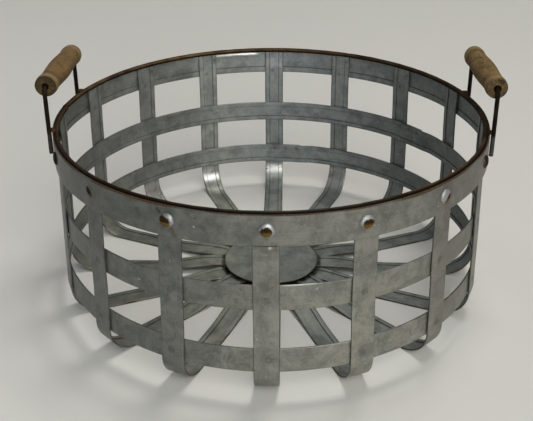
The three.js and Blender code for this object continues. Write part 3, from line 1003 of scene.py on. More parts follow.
@dataclass
class StrapCage:
    """Upright straps that bend under the base and meet in the middle."""

    wall: Wall
    finish: bpy.types.Material
    bend_radius: float = 27.0
    foot_inner: float = 116.0
    fan_margin: float = 3.5
    wave: float = 0.28
    sway: float = 0.35
    leaning: int = 15
    lean_low: float = 0.5
    lean_high: float = 2.4
    press: float = 0.5
    press_from: float = 142.0
    press_ease: float = 11.0
    weld: SpotWeld = SpotWeld(2.4, 0.8, 0.6, 1.4, 0.8)
    weld_depth: float = 0.28
    weld_strength: float = 0.7
    pricks: tuple[Span, ...] = ((5.5, 7.4), (20.5, -1.5))
    prick_width: float = 1.5
    prick_share: float = 0.9
    dinged: int = 0
    ding_height: float = 135.0
    ding_across: float = -2.9
    ding_width: float = 1.1
    fold_rust: float = 0.08
    low_fold_rust: float = 0.86
    # Bright edge inside: a little painted light on all inner faces, and polishing with painted highlights on
    # bends that face the given side, fading out between the given leans, some set by strap.
    rubbed: float = 0.08
    trodden: float = math.radians(191.0)
    polish_end: Span = (0.7, 1.2)
    polish_ends: dict[int, Span] = field(default_factory=lambda: {8: (0.35, 0.65), 9: (0.45, 0.90)})
    uv_step: float = 0.11
    first_seed: int = 100

    @property
    def top(self) -> float:
        """Height of the straps' upper ends, just under the rim wire."""
        return self.wall.rim_height - self.wall.rim_wire / 2 - self.wall.clearance

    def path(self, rise: float, top: float) -> StrapLine:
        """Line of a strap's outer face from its top to its inner end.

        The wall is straight, the bend a circle, and the base lies on the ground and then rises on a
        cubic ease to the middle.

        Args:
            rise: Height of the strap's underside at the middle.
            top: Height of the strap's upper end.

        Returns:
            The line.
        """
        wall = self.wall
        bend_top = self.bend_radius * (1.0 + math.sin(wall.flare))
        middle = float(wall.radius_at(bend_top)) - self.bend_radius * math.cos(wall.flare)
        near_welds = [level + np.linspace(-6.0, 6.0, 21) for level in (wall.middle_hoop, wall.lower_hoop)]
        near_top = np.linspace(top - 26.0, top, 27)
        heights = np.concatenate([np.linspace(bend_top, top, 70), *near_welds, near_top])
        heights = np.unique(heights.round(3))[::-1]
        lean = np.linspace(-wall.flare, math.pi / 2, 34)[1:]
        half = wall.strap_width / 2
        fan = half / math.tan(wall.pitch / 2) + self.fan_margin
        inner_end = half / math.tan(wall.pitch) + self.fan_margin
        base = np.linspace(middle, inner_end, 72)[1:]
        share = np.clip((self.foot_inner - base) / (self.foot_inner - fan), 0.0, 1.0)
        climb = np.arctan(rise * 6.0 * share * (1.0 - share) / (self.foot_inner - fan))
        radius = np.concatenate([wall.radius_at(heights), middle + self.bend_radius * np.cos(lean), base])
        height = np.concatenate([
            heights, self.bend_radius * (1.0 - np.sin(lean)), rise * smoothstep(share, 0.0, 1.0),
        ])
        leans = np.concatenate([np.full(len(heights), -wall.flare), lean, math.pi / 2 + climb])
        return StrapLine(radius, height, leans, distance_along(radius, height))

    def marks(self, line: StrapLine, across: Array, draw: np.random.Generator) -> Array:
        """Spot welds at the two hoops, each a little off its place, and two pricks near the top.

        Args:
            line: Line of the strap.
            across: Place of each point across the strip.
            draw: Source of the welds' places.

        Returns:
            Strength of the marks, stations × points.
        """
        along = line.along[:, None]
        mark = np.zeros((len(along), across.shape[1]))
        for level in (self.wall.middle_hoop, self.wall.lower_hoop):
            spot = line.along[np.argmin(np.abs(line.height - level))] + draw.uniform(-2.5, 2.5)
            away = np.hypot(along - spot, across - draw.uniform(-2.0, 2.0))
            mark += self.weld.mark(away) * (line.height[:, None] > self.wall.bend_top)
        for spot, shift in self.pricks:
            mark += self.prick_share * bell(np.hypot(along - spot, across - shift), self.prick_width)
        return mark

    def wear(self, position: int, line: StrapLine, profile: StripProfile, mark: Array) -> Array:
        """Rusty folds, dirt and painted shade in folds and round the disc, scorched welds, painted light
        inside.

        Bends inside are made bright with polishing and painted highlights, and all inner faces get a little
        painted light.

        Args:
            position: Number of the strap, from the front.
            line: Line of the strap.
            profile: Outline of the strip.
            mark: Strength of the marks.

        Returns:
            Stations × points × 4 shares.
        """
        wall = self.wall
        angle = position * wall.pitch
        wear = no_wear(mark)
        patches = ripple(line.along, self.first_seed + position + 900, (37.0, 83.0), 1.0)
        rusty_fold = smoothstep(patches, -0.1, 0.7)
        low = fall(line.height, 1.0, 1.2 * wall.bend_top)
        fold_rust = rusty_fold * (self.fold_rust + self.low_fold_rust * low)
        wear[..., Wear.RUST] = profile.edge[None, :] * fold_rust[:, None]
        # Dirt and painted shade on the straps under and round the disc's edge.
        under_disc = fall(line.radius, wall.disc_radius + 1.5, wall.disc_radius + 4.5)
        # Hem creases and folded edges get dirt and painted shade, eased off on the left.
        wiped = 0.55 * float(smoothstep(-math.sin(angle), 0.5, 0.85))
        folds = np.maximum(profile.dirt * 0.7, profile.edge * 0.9) * (1.0 - wiped)
        wear[..., Wear.DIRT] = np.maximum(folds[None, :], under_disc[:, None])
        wear[..., Wear.WELD] = np.clip(mark, 0.0, 1.0) * self.weld_strength
        # Bends facing the given side are made bright inside: polishing with painted highlights.
        trodden = smoothstep(math.cos(angle - self.trodden), 0.45, 0.85)
        ends = self.polish_ends.get(position, self.polish_end)
        bend = trodden * smoothstep(line.lean, 0.0, 0.25) * fall(line.lean, *ends)
        wear[..., Wear.EDGE] = np.maximum(bend, self.rubbed)[:, None] * profile.inner_side(wall)
        if position == self.dinged:
            away = np.hypot(line.height[:, None] - self.ding_height, profile.across - self.ding_across)
            wear[..., Wear.EDGE] += bell(away, self.ding_width)
        return wear

    def surface(self, position: int) -> Surface:
        """One strap with its spot welds, small waves, and folds dark with soil and painted shade.

        A point lies on the strap's line, moved inwards by its depth, the waves and the marks, square to the
        line, and sideways by its place across and the sway.

        Args:
            position: Number of the strap, from the front.

        Returns:
            The closed surface.
        """
        wall = self.wall
        profile = StripProfile.hemmed(wall.strap_width, wall.hem, wall)
        lift = wall.thickness + wall.clearance if position % 2 == 0 else 0.0
        angle = position * wall.pitch
        line = self.path(wall.base_rise + lift, self.top - float(wall.sag_at(angle)))
        seed = self.first_seed + position
        on_wall = smoothstep(line.height, wall.bend_top, wall.bend_top + 30.0)
        wave = ripple(line.along, seed, (61.0, 97.0, 143.0), self.wave) * on_wall
        sway = ripple(line.along, seed + 500, (170.0, 260.0), self.sway) * on_wall
        sway = sway * smoothstep(line.along, 0.0, 60.0)
        if position == self.leaning:
            risen = smoothstep(line.height, 0.0, self.top)
            sway -= self.lean_low + (self.lean_high - self.lean_low) * risen
        mark = self.marks(line, profile.across, np.random.default_rng(seed))
        pressed = self.press * smoothstep(line.height, self.press_from, self.press_from + self.press_ease)
        depth = profile.depth + (wave - pressed)[:, None] + self.weld_depth * mark
        side = profile.across + sway[:, None]
        away = line.radius[:, None] - depth * np.cos(line.lean)[:, None]
        level = line.height[:, None] + depth * np.sin(line.lean)[:, None]
        points = (
            away[..., None] * outward(angle) + level[..., None] * UP
            - side[..., None] * round_the_axis(angle)
        )
        on_base = fall(line.height, 0.3 * wall.bend_top, wall.bend_top)
        # Inner faces get painted light: on the base more towards the back, on the wall as the wall's share.
        clean_base = 0.25 + 0.45 * smoothstep(-math.cos(angle), 0.3, 0.9)
        clean = on_base * clean_base + (1.0 - on_base) * wall.shelter_at(angle)
        uv = strip_uv(line.along, profile.across, position * self.uv_step)
        return Surface(
            points, self.wear(position, line, profile, mark), uv, profile.inner_side(wall) * clean[:, None],
            wrap_columns=True, caps=True,
        )

    def build(self) -> None:
        """Make every strap."""
        for position in range(self.wall.strap_count):
            number = f"{position + 1:02d}"
            piece = self.surface(position).to_object(f"folded_strap_{number}")
            place(piece, self.finish, Body.BASKET, Slot.SHEET, f"strap_{number}")


@dataclass
class Hoop:
    """Strip inside the straps, closed by a lap with spot welds."""

    wall: Wall
    finish: bpy.types.Material
    node: str
    height: float
    seam: float
    seed: int
    ring_mark: float | None = None
    # Arc where the upper fold carries a painted highlight.
    rubbed_arc: Span | None = None
    rise_behind: float = 0.0
    lap: float = 34.0
    ease: float = 16.0
    stations: int = 400
    wave: float = 0.12
    lap_weld: SpotWeld = SpotWeld(1.7, 0.7, 0.7, 1.0, 0.9)
    lap_welds: Triple = (4.0, 17.0, 30.0)
    lap_weld_across: float = -6.4
    ring_weld: SpotWeld = SpotWeld(2.9, 0.6, 0.35)
    ring_along: float = 5.0
    ring_across: float = -1.2
    weld_depth: float = 0.25
    weld_strength: float = 0.75
    closing: float = 9.0
    thinned: float = 0.9
    uv_step: float = 0.1

    @property
    def radius(self) -> float:
        """Radius of the straps' outer face at the hoop's middle line."""
        return float(self.wall.radius_at(self.height))

    @property
    def marked(self) -> float:
        """Angle from the seam to the ring mark, or nothing where there is none."""
        return 0.0 if self.ring_mark is None else (self.ring_mark - self.seam) % TURN

    def sweep(self) -> Array:
        """Angles from the seam once round and a lap more, closer together on the lap and at the ring mark.

        Returns:
            Growing angles.
        """
        even = np.linspace(0.0, TURN + self.lap / self.radius, self.stations)
        on_lap = TURN + np.linspace(0.0, self.lap, 50) / self.radius
        near_mark = self.marked + np.linspace(0.0, 10.0, 17) / self.radius
        return np.unique(np.concatenate([even, on_lap, near_mark]).round(6))

    def marks(self, along: Array, profile: StripProfile) -> Array:
        """Spot welds on the lap, and a ring left by a tool on the outer face.

        Args:
            along: Distance of each station from the seam.
            profile: Outline of the strip.

        Returns:
            Strength of the marks, stations × points.
        """
        mark = np.zeros((len(along), len(profile.points)))
        for spot in self.lap_welds:
            past_lap = along[:, None] - TURN * self.radius - spot
            mark += self.lap_weld.mark(np.hypot(past_lap, profile.across - self.lap_weld_across))
        if self.ring_mark is not None:
            past_mark = along[:, None] - self.marked * self.radius - self.ring_along
            ring = self.ring_weld.mark(np.hypot(past_mark, profile.across - self.ring_across))
            mark += ring * (profile.depth < 0.1)
        return mark

    def wear(self, angle: Array, along: Array, profile: StripProfile, mark: Array) -> Array:
        """Rust on the lower fold, soil and painted shade on folds and hems, and a bright upper fold in
        places:
        partly worn, partly a painted highlight.

        Args:
            angle: Angle of each station.
            along: Distance of each station from the seam.
            profile: Outline of the strip.
            mark: Strength of the marks.

        Returns:
            Stations × points × 4 shares.
        """
        wear = no_wear(mark)
        lower = profile.across > 0
        rusty_fold = smoothstep(ripple(along, self.seed + 40, (53.0, 131.0), 1.0), 0.3, 0.95)
        wear[..., Wear.RUST] = profile.edge[None, :] * (0.06 + 0.25 * rusty_fold)[:, None] * lower
        # The upper fold is made bright: in ripples, partly worn and partly painted highlight, and over the
        # given arc as a painted highlight.
        rubbed = 0.25 * smoothstep(ripple(along, self.seed + 70, (190.0, 310.0), 1.0), 0.0, 0.7)
        if self.rubbed_arc is not None:
            first, last = self.rubbed_arc
            turned = angle % TURN
            arc = smoothstep(turned, first, first + 0.03) * fall(turned, last - 0.06, last)
            rubbed = np.maximum(rubbed, arc)
        # Folded edges darken with soil and painted shade, less where made bright; hem creases get dirt and
        # painted shade, eased off on the left.
        soiled = np.where(lower, 0.7, 0.6) * profile.edge[None, :] * (1.0 - 0.7 * rubbed[:, None])
        wiped = 0.7 * smoothstep(-np.sin(angle), 0.2, 0.8)
        hem_line = profile.dirt[None, :] * 0.65 * (1.0 - wiped[:, None])
        wear[..., Wear.DIRT] = np.maximum(hem_line, soiled)
        wear[..., Wear.EDGE] = profile.edge[None, :] * ~lower * 0.7 * rubbed[:, None]
        wear[..., Wear.WELD] = np.clip(mark, 0.0, 1.0) * self.weld_strength
        return wear

    def surface(self) -> Surface:
        """The lapped strip.

        The outline goes round once and a lap more. Before the lap it steps inwards by its own thickness
        on a cubic ease, so its second end lies over its first. Towards that end it is pressed thinner.

        Returns:
            The closed surface.
        """
        wall = self.wall
        profile = StripProfile.hemmed(wall.hoop_width, wall.hem, wall)
        sweep = self.sweep()
        along = sweep * self.radius
        angle = self.seam + sweep
        mark = self.marks(along, profile)
        wave = ripple(along, self.seed, (71.0, 113.0, 187.0), self.wave)
        lapped = smoothstep(sweep, TURN - self.ease / self.radius, TURN)
        closed = fall(sweep[-1] * self.radius - along, 0.0, self.closing)
        dent = wave[:, None] - self.weld_depth * mark - self.thinned * closed[:, None] * profile.depth
        seat = wall.thickness + wall.clearance
        inset = seat * (1.0 + lapped) - self.thinned * wall.clearance * closed
        points = wall.ring_points(profile.points, angle, self.height, inset, dent)
        points[..., 2] += self.rise_behind * (1.0 - np.cos(angle))[:, None] / 2
        # Inner faces get painted light, most at the back.
        shelter = profile.inner_side(wall) * wall.shelter_at(angle)[:, None]
        uv = strip_uv(along, profile.across, self.seed * self.uv_step)
        wear = self.wear(angle, along, profile, mark)
        return Surface(points, wear, uv, shelter, wrap_columns=True, caps=True)

    def build(self) -> None:
        """Make the hoop."""
        piece = self.surface().to_object(f"folded_{self.node}")
        place(piece, self.finish, Body.BASKET, Slot.SHEET, self.node)


@dataclass
class TopBand:
    """Wide strip outside the straps, with a rusty cut edge at the top and stains at the rivets."""

    wall: Wall
    finish: bpy.types.Material
    shine_from: float = math.radians(184.5)
    shine_to: float = math.radians(203.0)
    ridge_across: float = 6.9
    ridge_width: float = 1.3
    ridge_height: float = 0.55
    shine_ease: float = 0.04
    wave: float = 0.16
    uv_offset: float = 3.0
    seed: int = 31

    def stations(self) -> Array:
        """Angles round the band, closer together beside each rivet.

        Returns:
            Angles from 0 to a full turn, without the last.
        """
        share = np.linspace(-0.5, 0.5, 45)[:-1]
        eased = 0.38 * share + 0.62 * 4.0 * share ** 3
        turns = np.arange(self.wall.strap_count)[:, None] * self.wall.pitch
        return (turns + eased[None, :] * self.wall.pitch).ravel()

    def stains(self, angle: Array, height: Array) -> tuple[Array, Array]:
        """Rust and dark marks on the band.

        Rust follows the cut edge in patches, hangs below each rivet as a fading streak, runs aslant from
        one rivet, and lies along the lower edge over the front strap. A dark slit leads to one rivet.

        Args:
            angle: Angle of each point.
            height: Height of each point.

        Returns:
            Rust and mark of each point.
        """
        wall = self.wall
        radius = float(wall.radius_at(wall.band_middle)) + wall.band_offset
        nearest = np.round(angle / wall.pitch)
        side = (angle - nearest * wall.pitch) * radius
        position = nearest.astype(int) % wall.strap_count
        draw = np.random.default_rng(self.seed)
        lean = draw.uniform(-1.6, 1.6, wall.strap_count)[position]
        strength = draw.uniform(0.18, 0.5, wall.strap_count)[position]
        below = wall.rivet_height - height
        fade = smoothstep(below, 1.5, 4.5) * fall(below, 6.0, 11.5)
        rust = 0.6 * strength * bell(side - lean, 2.4) * fade
        top = wall.rim_height + wall.band_lip - wall.sag_at(angle)
        bottom = wall.band_middle - wall.band_width / 2
        patchy = 0.62 + 0.30 * np.sin(7.0 * angle + 0.8) * np.sin(17.0 * angle)
        beside_front = smoothstep(np.abs((angle + math.pi) % TURN - math.pi), 0.2, 0.65)
        reach = 1.5 + (1.5 + 0.5 * np.sin(13.0 * angle)) * beside_front
        rust = np.maximum(rust, fall((top - height) / reach, 0.3, 1.0) * patchy)
        line = bell(height - bottom - 0.4, 0.7) * fall(np.abs(side), 7.4, 8.8)
        rise = bell(side - 7.9, 0.8) * fall(height - bottom, 2.5, 4.5)
        rust = np.maximum(rust, (position == 0) * np.maximum(0.62 * line, 0.42 * rise))
        beside = position == wall.strap_count - 1
        run = side - 5.0 - 0.32 * (below - 4.0)
        streak = bell(run, 2.2) * smoothstep(below, 2.5, 6.5)
        rust = np.maximum(rust, beside * 0.36 * streak)
        slit_side = side + 4.9
        slit_rise = -below - 6.2
        slit_along = slit_side * 0.62 - slit_rise * 0.78
        slit_off = slit_side * 0.78 + slit_rise * 0.62
        slit = beside * bell(slit_off, 1.1) * fall(np.abs(slit_along), 1.6, 3.6)
        return rust, slit

    def surface(self) -> Surface:
        """The band as a closed ring, with a low ridge inside where its upper edge shines at the back.

        A painted highlight lies on the ridge's upper flank, and painted shade just under the rim wire.

        Returns:
            The surface, closed both ways.
        """
        wall = self.wall
        profile = StripProfile.banded(wall.band_width, wall.band_hem, wall)
        angle = self.stations()
        radius = float(wall.radius_at(wall.band_middle))
        along = angle * radius
        round_once = TURN * radius
        wave = ripple(along, self.seed, (round_once / 9, round_once / 14, round_once / 23), self.wave)
        across = profile.across
        turned = (angle % TURN)[:, None]
        shine = smoothstep(turned, self.shine_from, self.shine_from + self.shine_ease)
        shine = shine * fall(turned, self.shine_to - self.shine_ease, self.shine_to)
        ridge = shine * bell(across + self.ridge_across, self.ridge_width)
        points = wall.ring_points(
            profile.points, angle, wall.band_middle, np.full(len(angle), -wall.band_offset),
            wave[:, None] + self.ridge_height * ridge,
        )
        points[..., 2] -= wall.sag_at(angle)[:, None] * smoothstep(-across, 2.0, wall.band_width / 2)
        rust, slit = self.stains(angle[:, None], points[..., 2])
        wear = no_wear(points)
        wear[..., Wear.RUST] = rust
        within = profile.depth > 0.5
        # Painted shade on the inner face just under the rim wire, left out where the painted highlight is.
        tucked = within * smoothstep(-across, 9.4, 11.5) * (1.0 - shine)
        # Hem creases and folded edges get dirt and painted shade, eased off on the left.
        wiped = 0.75 * smoothstep(-np.sin(angle), 0.2, 0.8)[:, None]
        folds = np.maximum(profile.dirt * 0.7, profile.edge * 0.5)[None, :] * (1.0 - wiped)
        wear[..., Wear.DIRT] = np.maximum(np.maximum(folds, tucked), slit)
        # Painted highlight on the ridge's upper flank, at the back.
        upper_flank = bell(across + self.ridge_across + 1.0, 1.5)
        wear[..., Wear.EDGE] = within * shine * upper_flank
        uv = strip_uv(along, across, self.uv_offset)
        # Inner faces get painted light, most at the back.
        shelter = within * wall.shelter_at(angle)[:, None]
        return Surface(points, wear, uv, shelter, wrap_rows=True, wrap_columns=True)

    def build(self) -> None:
        """Make the band."""
        piece = self.surface().to_object("riveted_band")
        place(piece, self.finish, Body.BASKET, Slot.SHEET, "top_band")


@dataclass
class RimWire:
    """Rusted wire inside the band's upper edge, its ends butted with a small kink."""

    wall: Wall
    finish: bpy.types.Material
    butt: float = math.radians(-93.5)
    gap: float = 0.4
    kink: float = 0.9
    kink_reach: float = 9.0
    # Gold along the top of the wire, rust and painted highlight: a base share, then glints, sectors where it
    # is stronger.
    golden: float = 0.14
    glints: tuple[Triple, ...] = ((0.65, 205.0, 38.0), (0.4, 50.0, 28.0), (0.2, 262.0, 30.0))
    sides: int = 20
    stations: int = 560
    seed: int = 61

    @property
    def radius(self) -> float:
        """Radius of the wire's middle line."""
        wall = self.wall
        return wall.radius + wall.band_offset - wall.sheet - wall.clearance - wall.rim_wire / 2

    def surface(self) -> Surface:
        """A circle carried round the rim, with scale on it and a slight kink where the ends meet.

        Its crown is gold, rust and a painted highlight, most at the glints, which are each a share, a middle
        and a width in degrees. The groove beside the band and the underside are black with painted shade.

        Returns:
            The closed surface.
        """
        wall = self.wall
        sweep = np.linspace(self.gap / self.radius / 2, TURN - self.gap / self.radius / 2, self.stations)
        along = sweep * self.radius
        around = self.butt + sweep
        first_end = np.exp(-along / self.kink_reach)
        second_end = np.exp(-(TURN * self.radius - along) / self.kink_reach)
        middle = self.radius + self.kink * (0.65 * second_end - 0.3 * first_end)
        middle = middle + ripple(along, self.seed, (90.0, 211.0), 0.12)
        lift = self.kink * (second_end + 0.15 * first_end) - wall.sag_at(around)
        turn = circle(self.sides)
        draw = np.random.default_rng(self.seed)
        scale = np.clip(draw.normal(0.0, 0.03, (self.stations, self.sides)), -0.06, 0.06)
        swell = ripple(along, self.seed + 1, (17.0, 41.0), 0.06)
        thick = wall.rim_wire / 2 + scale + swell[:, None]
        away = middle[:, None] - thick * np.sin(turn)[None, :]
        level = wall.rim_height + lift[:, None] - thick * np.cos(turn)[None, :]
        points = cylinder_points(away, around[:, None], level)
        wear = no_wear(points)
        # Gold along the crown is rust and a painted highlight; its line turns with the angle round the rim.
        crown_turn = math.radians(146.0) + math.radians(26.0) * np.cos(around)
        crown = bell(turn[None, :] - crown_turn[:, None], 0.5)
        glints = [share * near_angle(around, spot, width) for share, spot, width in self.glints]
        golden = self.golden + sum(glints)
        golden *= 1.0 + ripple(along, self.seed + 5, (23.0, 57.0, 140.0), 0.5)
        wear[..., Wear.RUST] = crown * golden[:, None]
        # Painted shade: black in the groove beside the band and on the underside.
        groove = smoothstep(turn, math.radians(200.0), math.radians(226.0))
        under = fall(turn, math.radians(50.0), math.radians(96.0))
        wear[..., Wear.DIRT] = np.maximum(groove, under)[None, :]
        # A worn line on the crown at the front, partly a painted highlight.
        worn_line = bell(turn - math.radians(186.0), 0.3)
        wear[..., Wear.EDGE] = 0.8 * near_angle(around, 4.0, 11.0)[:, None] * worn_line[None, :]
        return Surface(points, np.clip(wear, 0.0, 1.0), wrap_columns=True, caps=True)

    def build(self) -> None:
        """Make the rim."""
        piece = self.surface().to_object("rusted_rim")
        place(piece, self.finish, Body.BASKET, Slot.WIRE, "rim_wire")


@dataclass(frozen=True)
class RustSpot:
    """Rust on one rivet's head, in shares of the head's radius.

    across and fall are the spot's middle, to the right and downwards, width and height its half sizes, and
    slant turns it. dull is the share of weathered steel, dome the share of the full height, shift a distance
    along the band, and gold how much lighter the rust is at its lower end.
    """

    across: float
    fall: float
    width: float
    height: float
    slant: float = 0.0
    dull: float = 0.1
    dome: float = 1.0
    shift: float = 0.0
    gold: float = 1.0


@dataclass
class RivetRow:
    """Domed rivets through the band, one on each strap."""

    wall: Wall
    finish: bpy.types.Material
    head_radius: float = 5.8
    head_height: float = 2.9
    shank_radius: float = 2.3
    shank_end: float = 0.45
    pole: float = 0.02
    sides: int = 36
    rings: int = 16
    spots: dict[int, RustSpot] = field(default_factory=lambda: {
        0: RustSpot(-0.09, 0.17, 0.95, 0.92, dull=0.12, shift=0.7),
        1: RustSpot(0.10, 0.22, 1.04, 0.92, dull=0.4, shift=-1.6),
        2: RustSpot(0.30, 0.26, 1.10, 0.62, slant=0.7, dull=0.5, shift=-2.4),
        3: RustSpot(0.20, -0.10, 1.50, 1.50, dull=0.9, shift=-1.2, gold=0.3),
        13: RustSpot(0.0, 0.0, 2.20, 2.20, dull=1.0, dome=0.8, gold=0.0),
        14: RustSpot(-0.12, -0.08, 1.05, 0.58, slant=-0.85, dull=1.0, dome=0.22, gold=0.6),
        15: RustSpot(-0.24, 0.12, 1.16, 0.96, slant=-0.3, dull=0.4, shift=2.3),
    })
    first_seed: int = 300

    def spot(self, position: int, draw: np.random.Generator) -> RustSpot:
        """Rust of one rivet: a spot is always drawn, and used where none is given.

        Args:
            position: Number of the rivet, from the front.
            draw: Source of the drawn spot.

        Returns:
            The spot.
        """
        across, fall = draw.uniform(-0.25, 0.25), draw.uniform(0.0, 0.2)
        width, height = draw.uniform(0.85, 1.15), draw.uniform(0.7, 0.95)
        drawn = RustSpot(across, fall, width, height, draw.uniform(-0.4, 0.4), draw.uniform(0.0, 0.6))
        return self.spots.get(position, drawn)

    def surface(self, position: int) -> Surface:
        """A turned head and shank, a little uneven, set square to the wall.

        The head's height falls from its middle as the square root of one minus the share of the radius
        to the power 2.3.

        Args:
            position: Number of the rivet, from the front.

        Returns:
            The closed surface.
        """
        wall = self.wall
        draw = np.random.default_rng(self.first_seed + position)
        spot = self.spot(position, draw)
        seat = wall.band_offset + 0.05
        share = np.sin(np.linspace(0.0, math.pi / 2, self.rings))
        dome = seat + spot.dome * self.head_height * np.sqrt(np.clip(1.0 - share ** 2.3, 0.0, 1.0))
        shank = self.shank_radius
        reach = np.concatenate([[0.0, shank, shank], share[::-1] * self.head_radius])
        reach = np.maximum(reach, self.pole)
        rise = np.concatenate([[self.shank_end, self.shank_end, seat], dome[::-1]])
        turn = circle(self.sides)
        first, second = draw.uniform(0.0, TURN, 2)
        uneven = 1.0 + 0.022 * np.sin(2.0 * turn + first) + 0.014 * np.sin(3.0 * turn + second)
        flat = reach[:, None] * uneven[None, :]
        sideways = flat * np.cos(turn)[None, :]
        upwards = flat * np.sin(turn)[None, :]
        tap = draw.uniform(-2.0, 2.0, 2)
        hammered = 0.22 * bell(np.hypot(sideways - tap[0], upwards - tap[1]), 2.2)
        out = rise[:, None] - hammered * (rise[:, None] > seat + 0.4)
        angle = position * wall.pitch + spot.shift / wall.radius
        normal = outward(angle) * math.cos(wall.flare) + UP * math.sin(wall.flare)
        up = UP * math.cos(wall.flare) - outward(angle) * math.sin(wall.flare)
        base = outward(angle) * float(wall.radius_at(wall.rivet_height)) + UP * wall.rivet_height
        points = (
            base + sideways[..., None] * round_the_axis(angle)
            + upwards[..., None] * up + out[..., None] * normal
        )
        across = sideways / self.head_radius - spot.across
        drop = -upwards / self.head_radius - spot.fall
        long = across * math.cos(spot.slant) - drop * math.sin(spot.slant)
        short = across * math.sin(spot.slant) + drop * math.cos(spot.slant)
        blot = np.hypot(long / spot.width, short / spot.height)
        wear = no_wear(points)
        wear[..., Wear.RUST] = fall(blot, 0.45, 1.05)
        wear[..., Wear.DIRT] = spot.dull
        wear[..., Wear.EDGE] = spot.gold * smoothstep(-upwards / self.head_radius, 0.0, 0.5)
        return Surface(points, wear, wrap_columns=True, caps=True, sharp_degrees=60.0)

    def build(self) -> None:
        """Make every rivet."""
        for position in range(self.wall.strap_count):
            number = f"{position + 1:02d}"
            piece = self.surface(position).to_object(f"domed_rivet_{number}")
            place(piece, self.finish, Body.BASKET, Slot.RIVET, f"rivet_{number}")


@dataclass
class CentreDisc:
    """Sheet disc over the meeting straps, with a rusty rim."""

    wall: Wall
    finish: bpy.types.Material
    thickness: float = 1.2
    lip: float = 0.5
    dish: float = 0.9
    wobble: float = 0.22
    # Share of painted light, a lighter zinc colour.
    shelter: float = 0.3
    uv_offset: float = 5.0
    sides: int = 120

    def surface(self) -> Surface:
        """Rings from the middle of the underside round the rim to the middle of the top.

        The disc is a little dished and uneven: its height grows with the fourth power of the radius.

        Returns:
            The closed surface.
        """
        wall = self.wall
        radius = wall.disc_radius
        flat_radius = radius - self.lip
        bottom = wall.base_rise + 2.0 * (wall.thickness + wall.clearance)
        run = np.concatenate([np.linspace(0.02, 0.86, 12), np.linspace(0.89, 1.0, 8)]) * flat_radius
        lip = np.linspace(-math.pi / 2, math.pi / 2, 9)[1:-1]
        reach = np.concatenate([run, flat_radius + self.lip * np.cos(lip), run[::-1]])
        rise = np.concatenate([
            np.zeros(len(run)), self.thickness / 2 * (1.0 + np.sin(lip)), np.full(len(run), self.thickness),
        ])
        turn = circle(self.sides)
        share = reach[:, None] / radius
        uneven = self.wobble * np.sin(3.0 * turn + 0.7) * share ** 2 + self.dish * share ** 4
        points = cylinder_points(reach[:, None], turn[None, :], bottom + rise[:, None] + uneven)
        wear = no_wear(points)
        patch = 0.55 + 0.4 * np.sin(5.0 * turn + 1.3) * np.sin(2.0 * turn)
        wear[..., Wear.RUST] = smoothstep(reach[:, None], radius - 1.2, radius - 0.3) * patch
        # Painted shade: the underside and lower lip are dark.
        wear[..., Wear.DIRT] = fall(rise, 0.3 * self.thickness, 0.95 * self.thickness)[:, None]
        uv = points[..., :2] * MM + self.uv_offset
        shelter = np.full(points.shape[:2], self.shelter)
        return Surface(points, wear, uv, shelter, wrap_columns=True, caps=True)

    def build(self) -> None:
        """Make the disc."""
        piece = self.surface().to_object("base_disc")
        place(piece, self.finish, Body.BASKET, Slot.SHEET, "centre_disc")


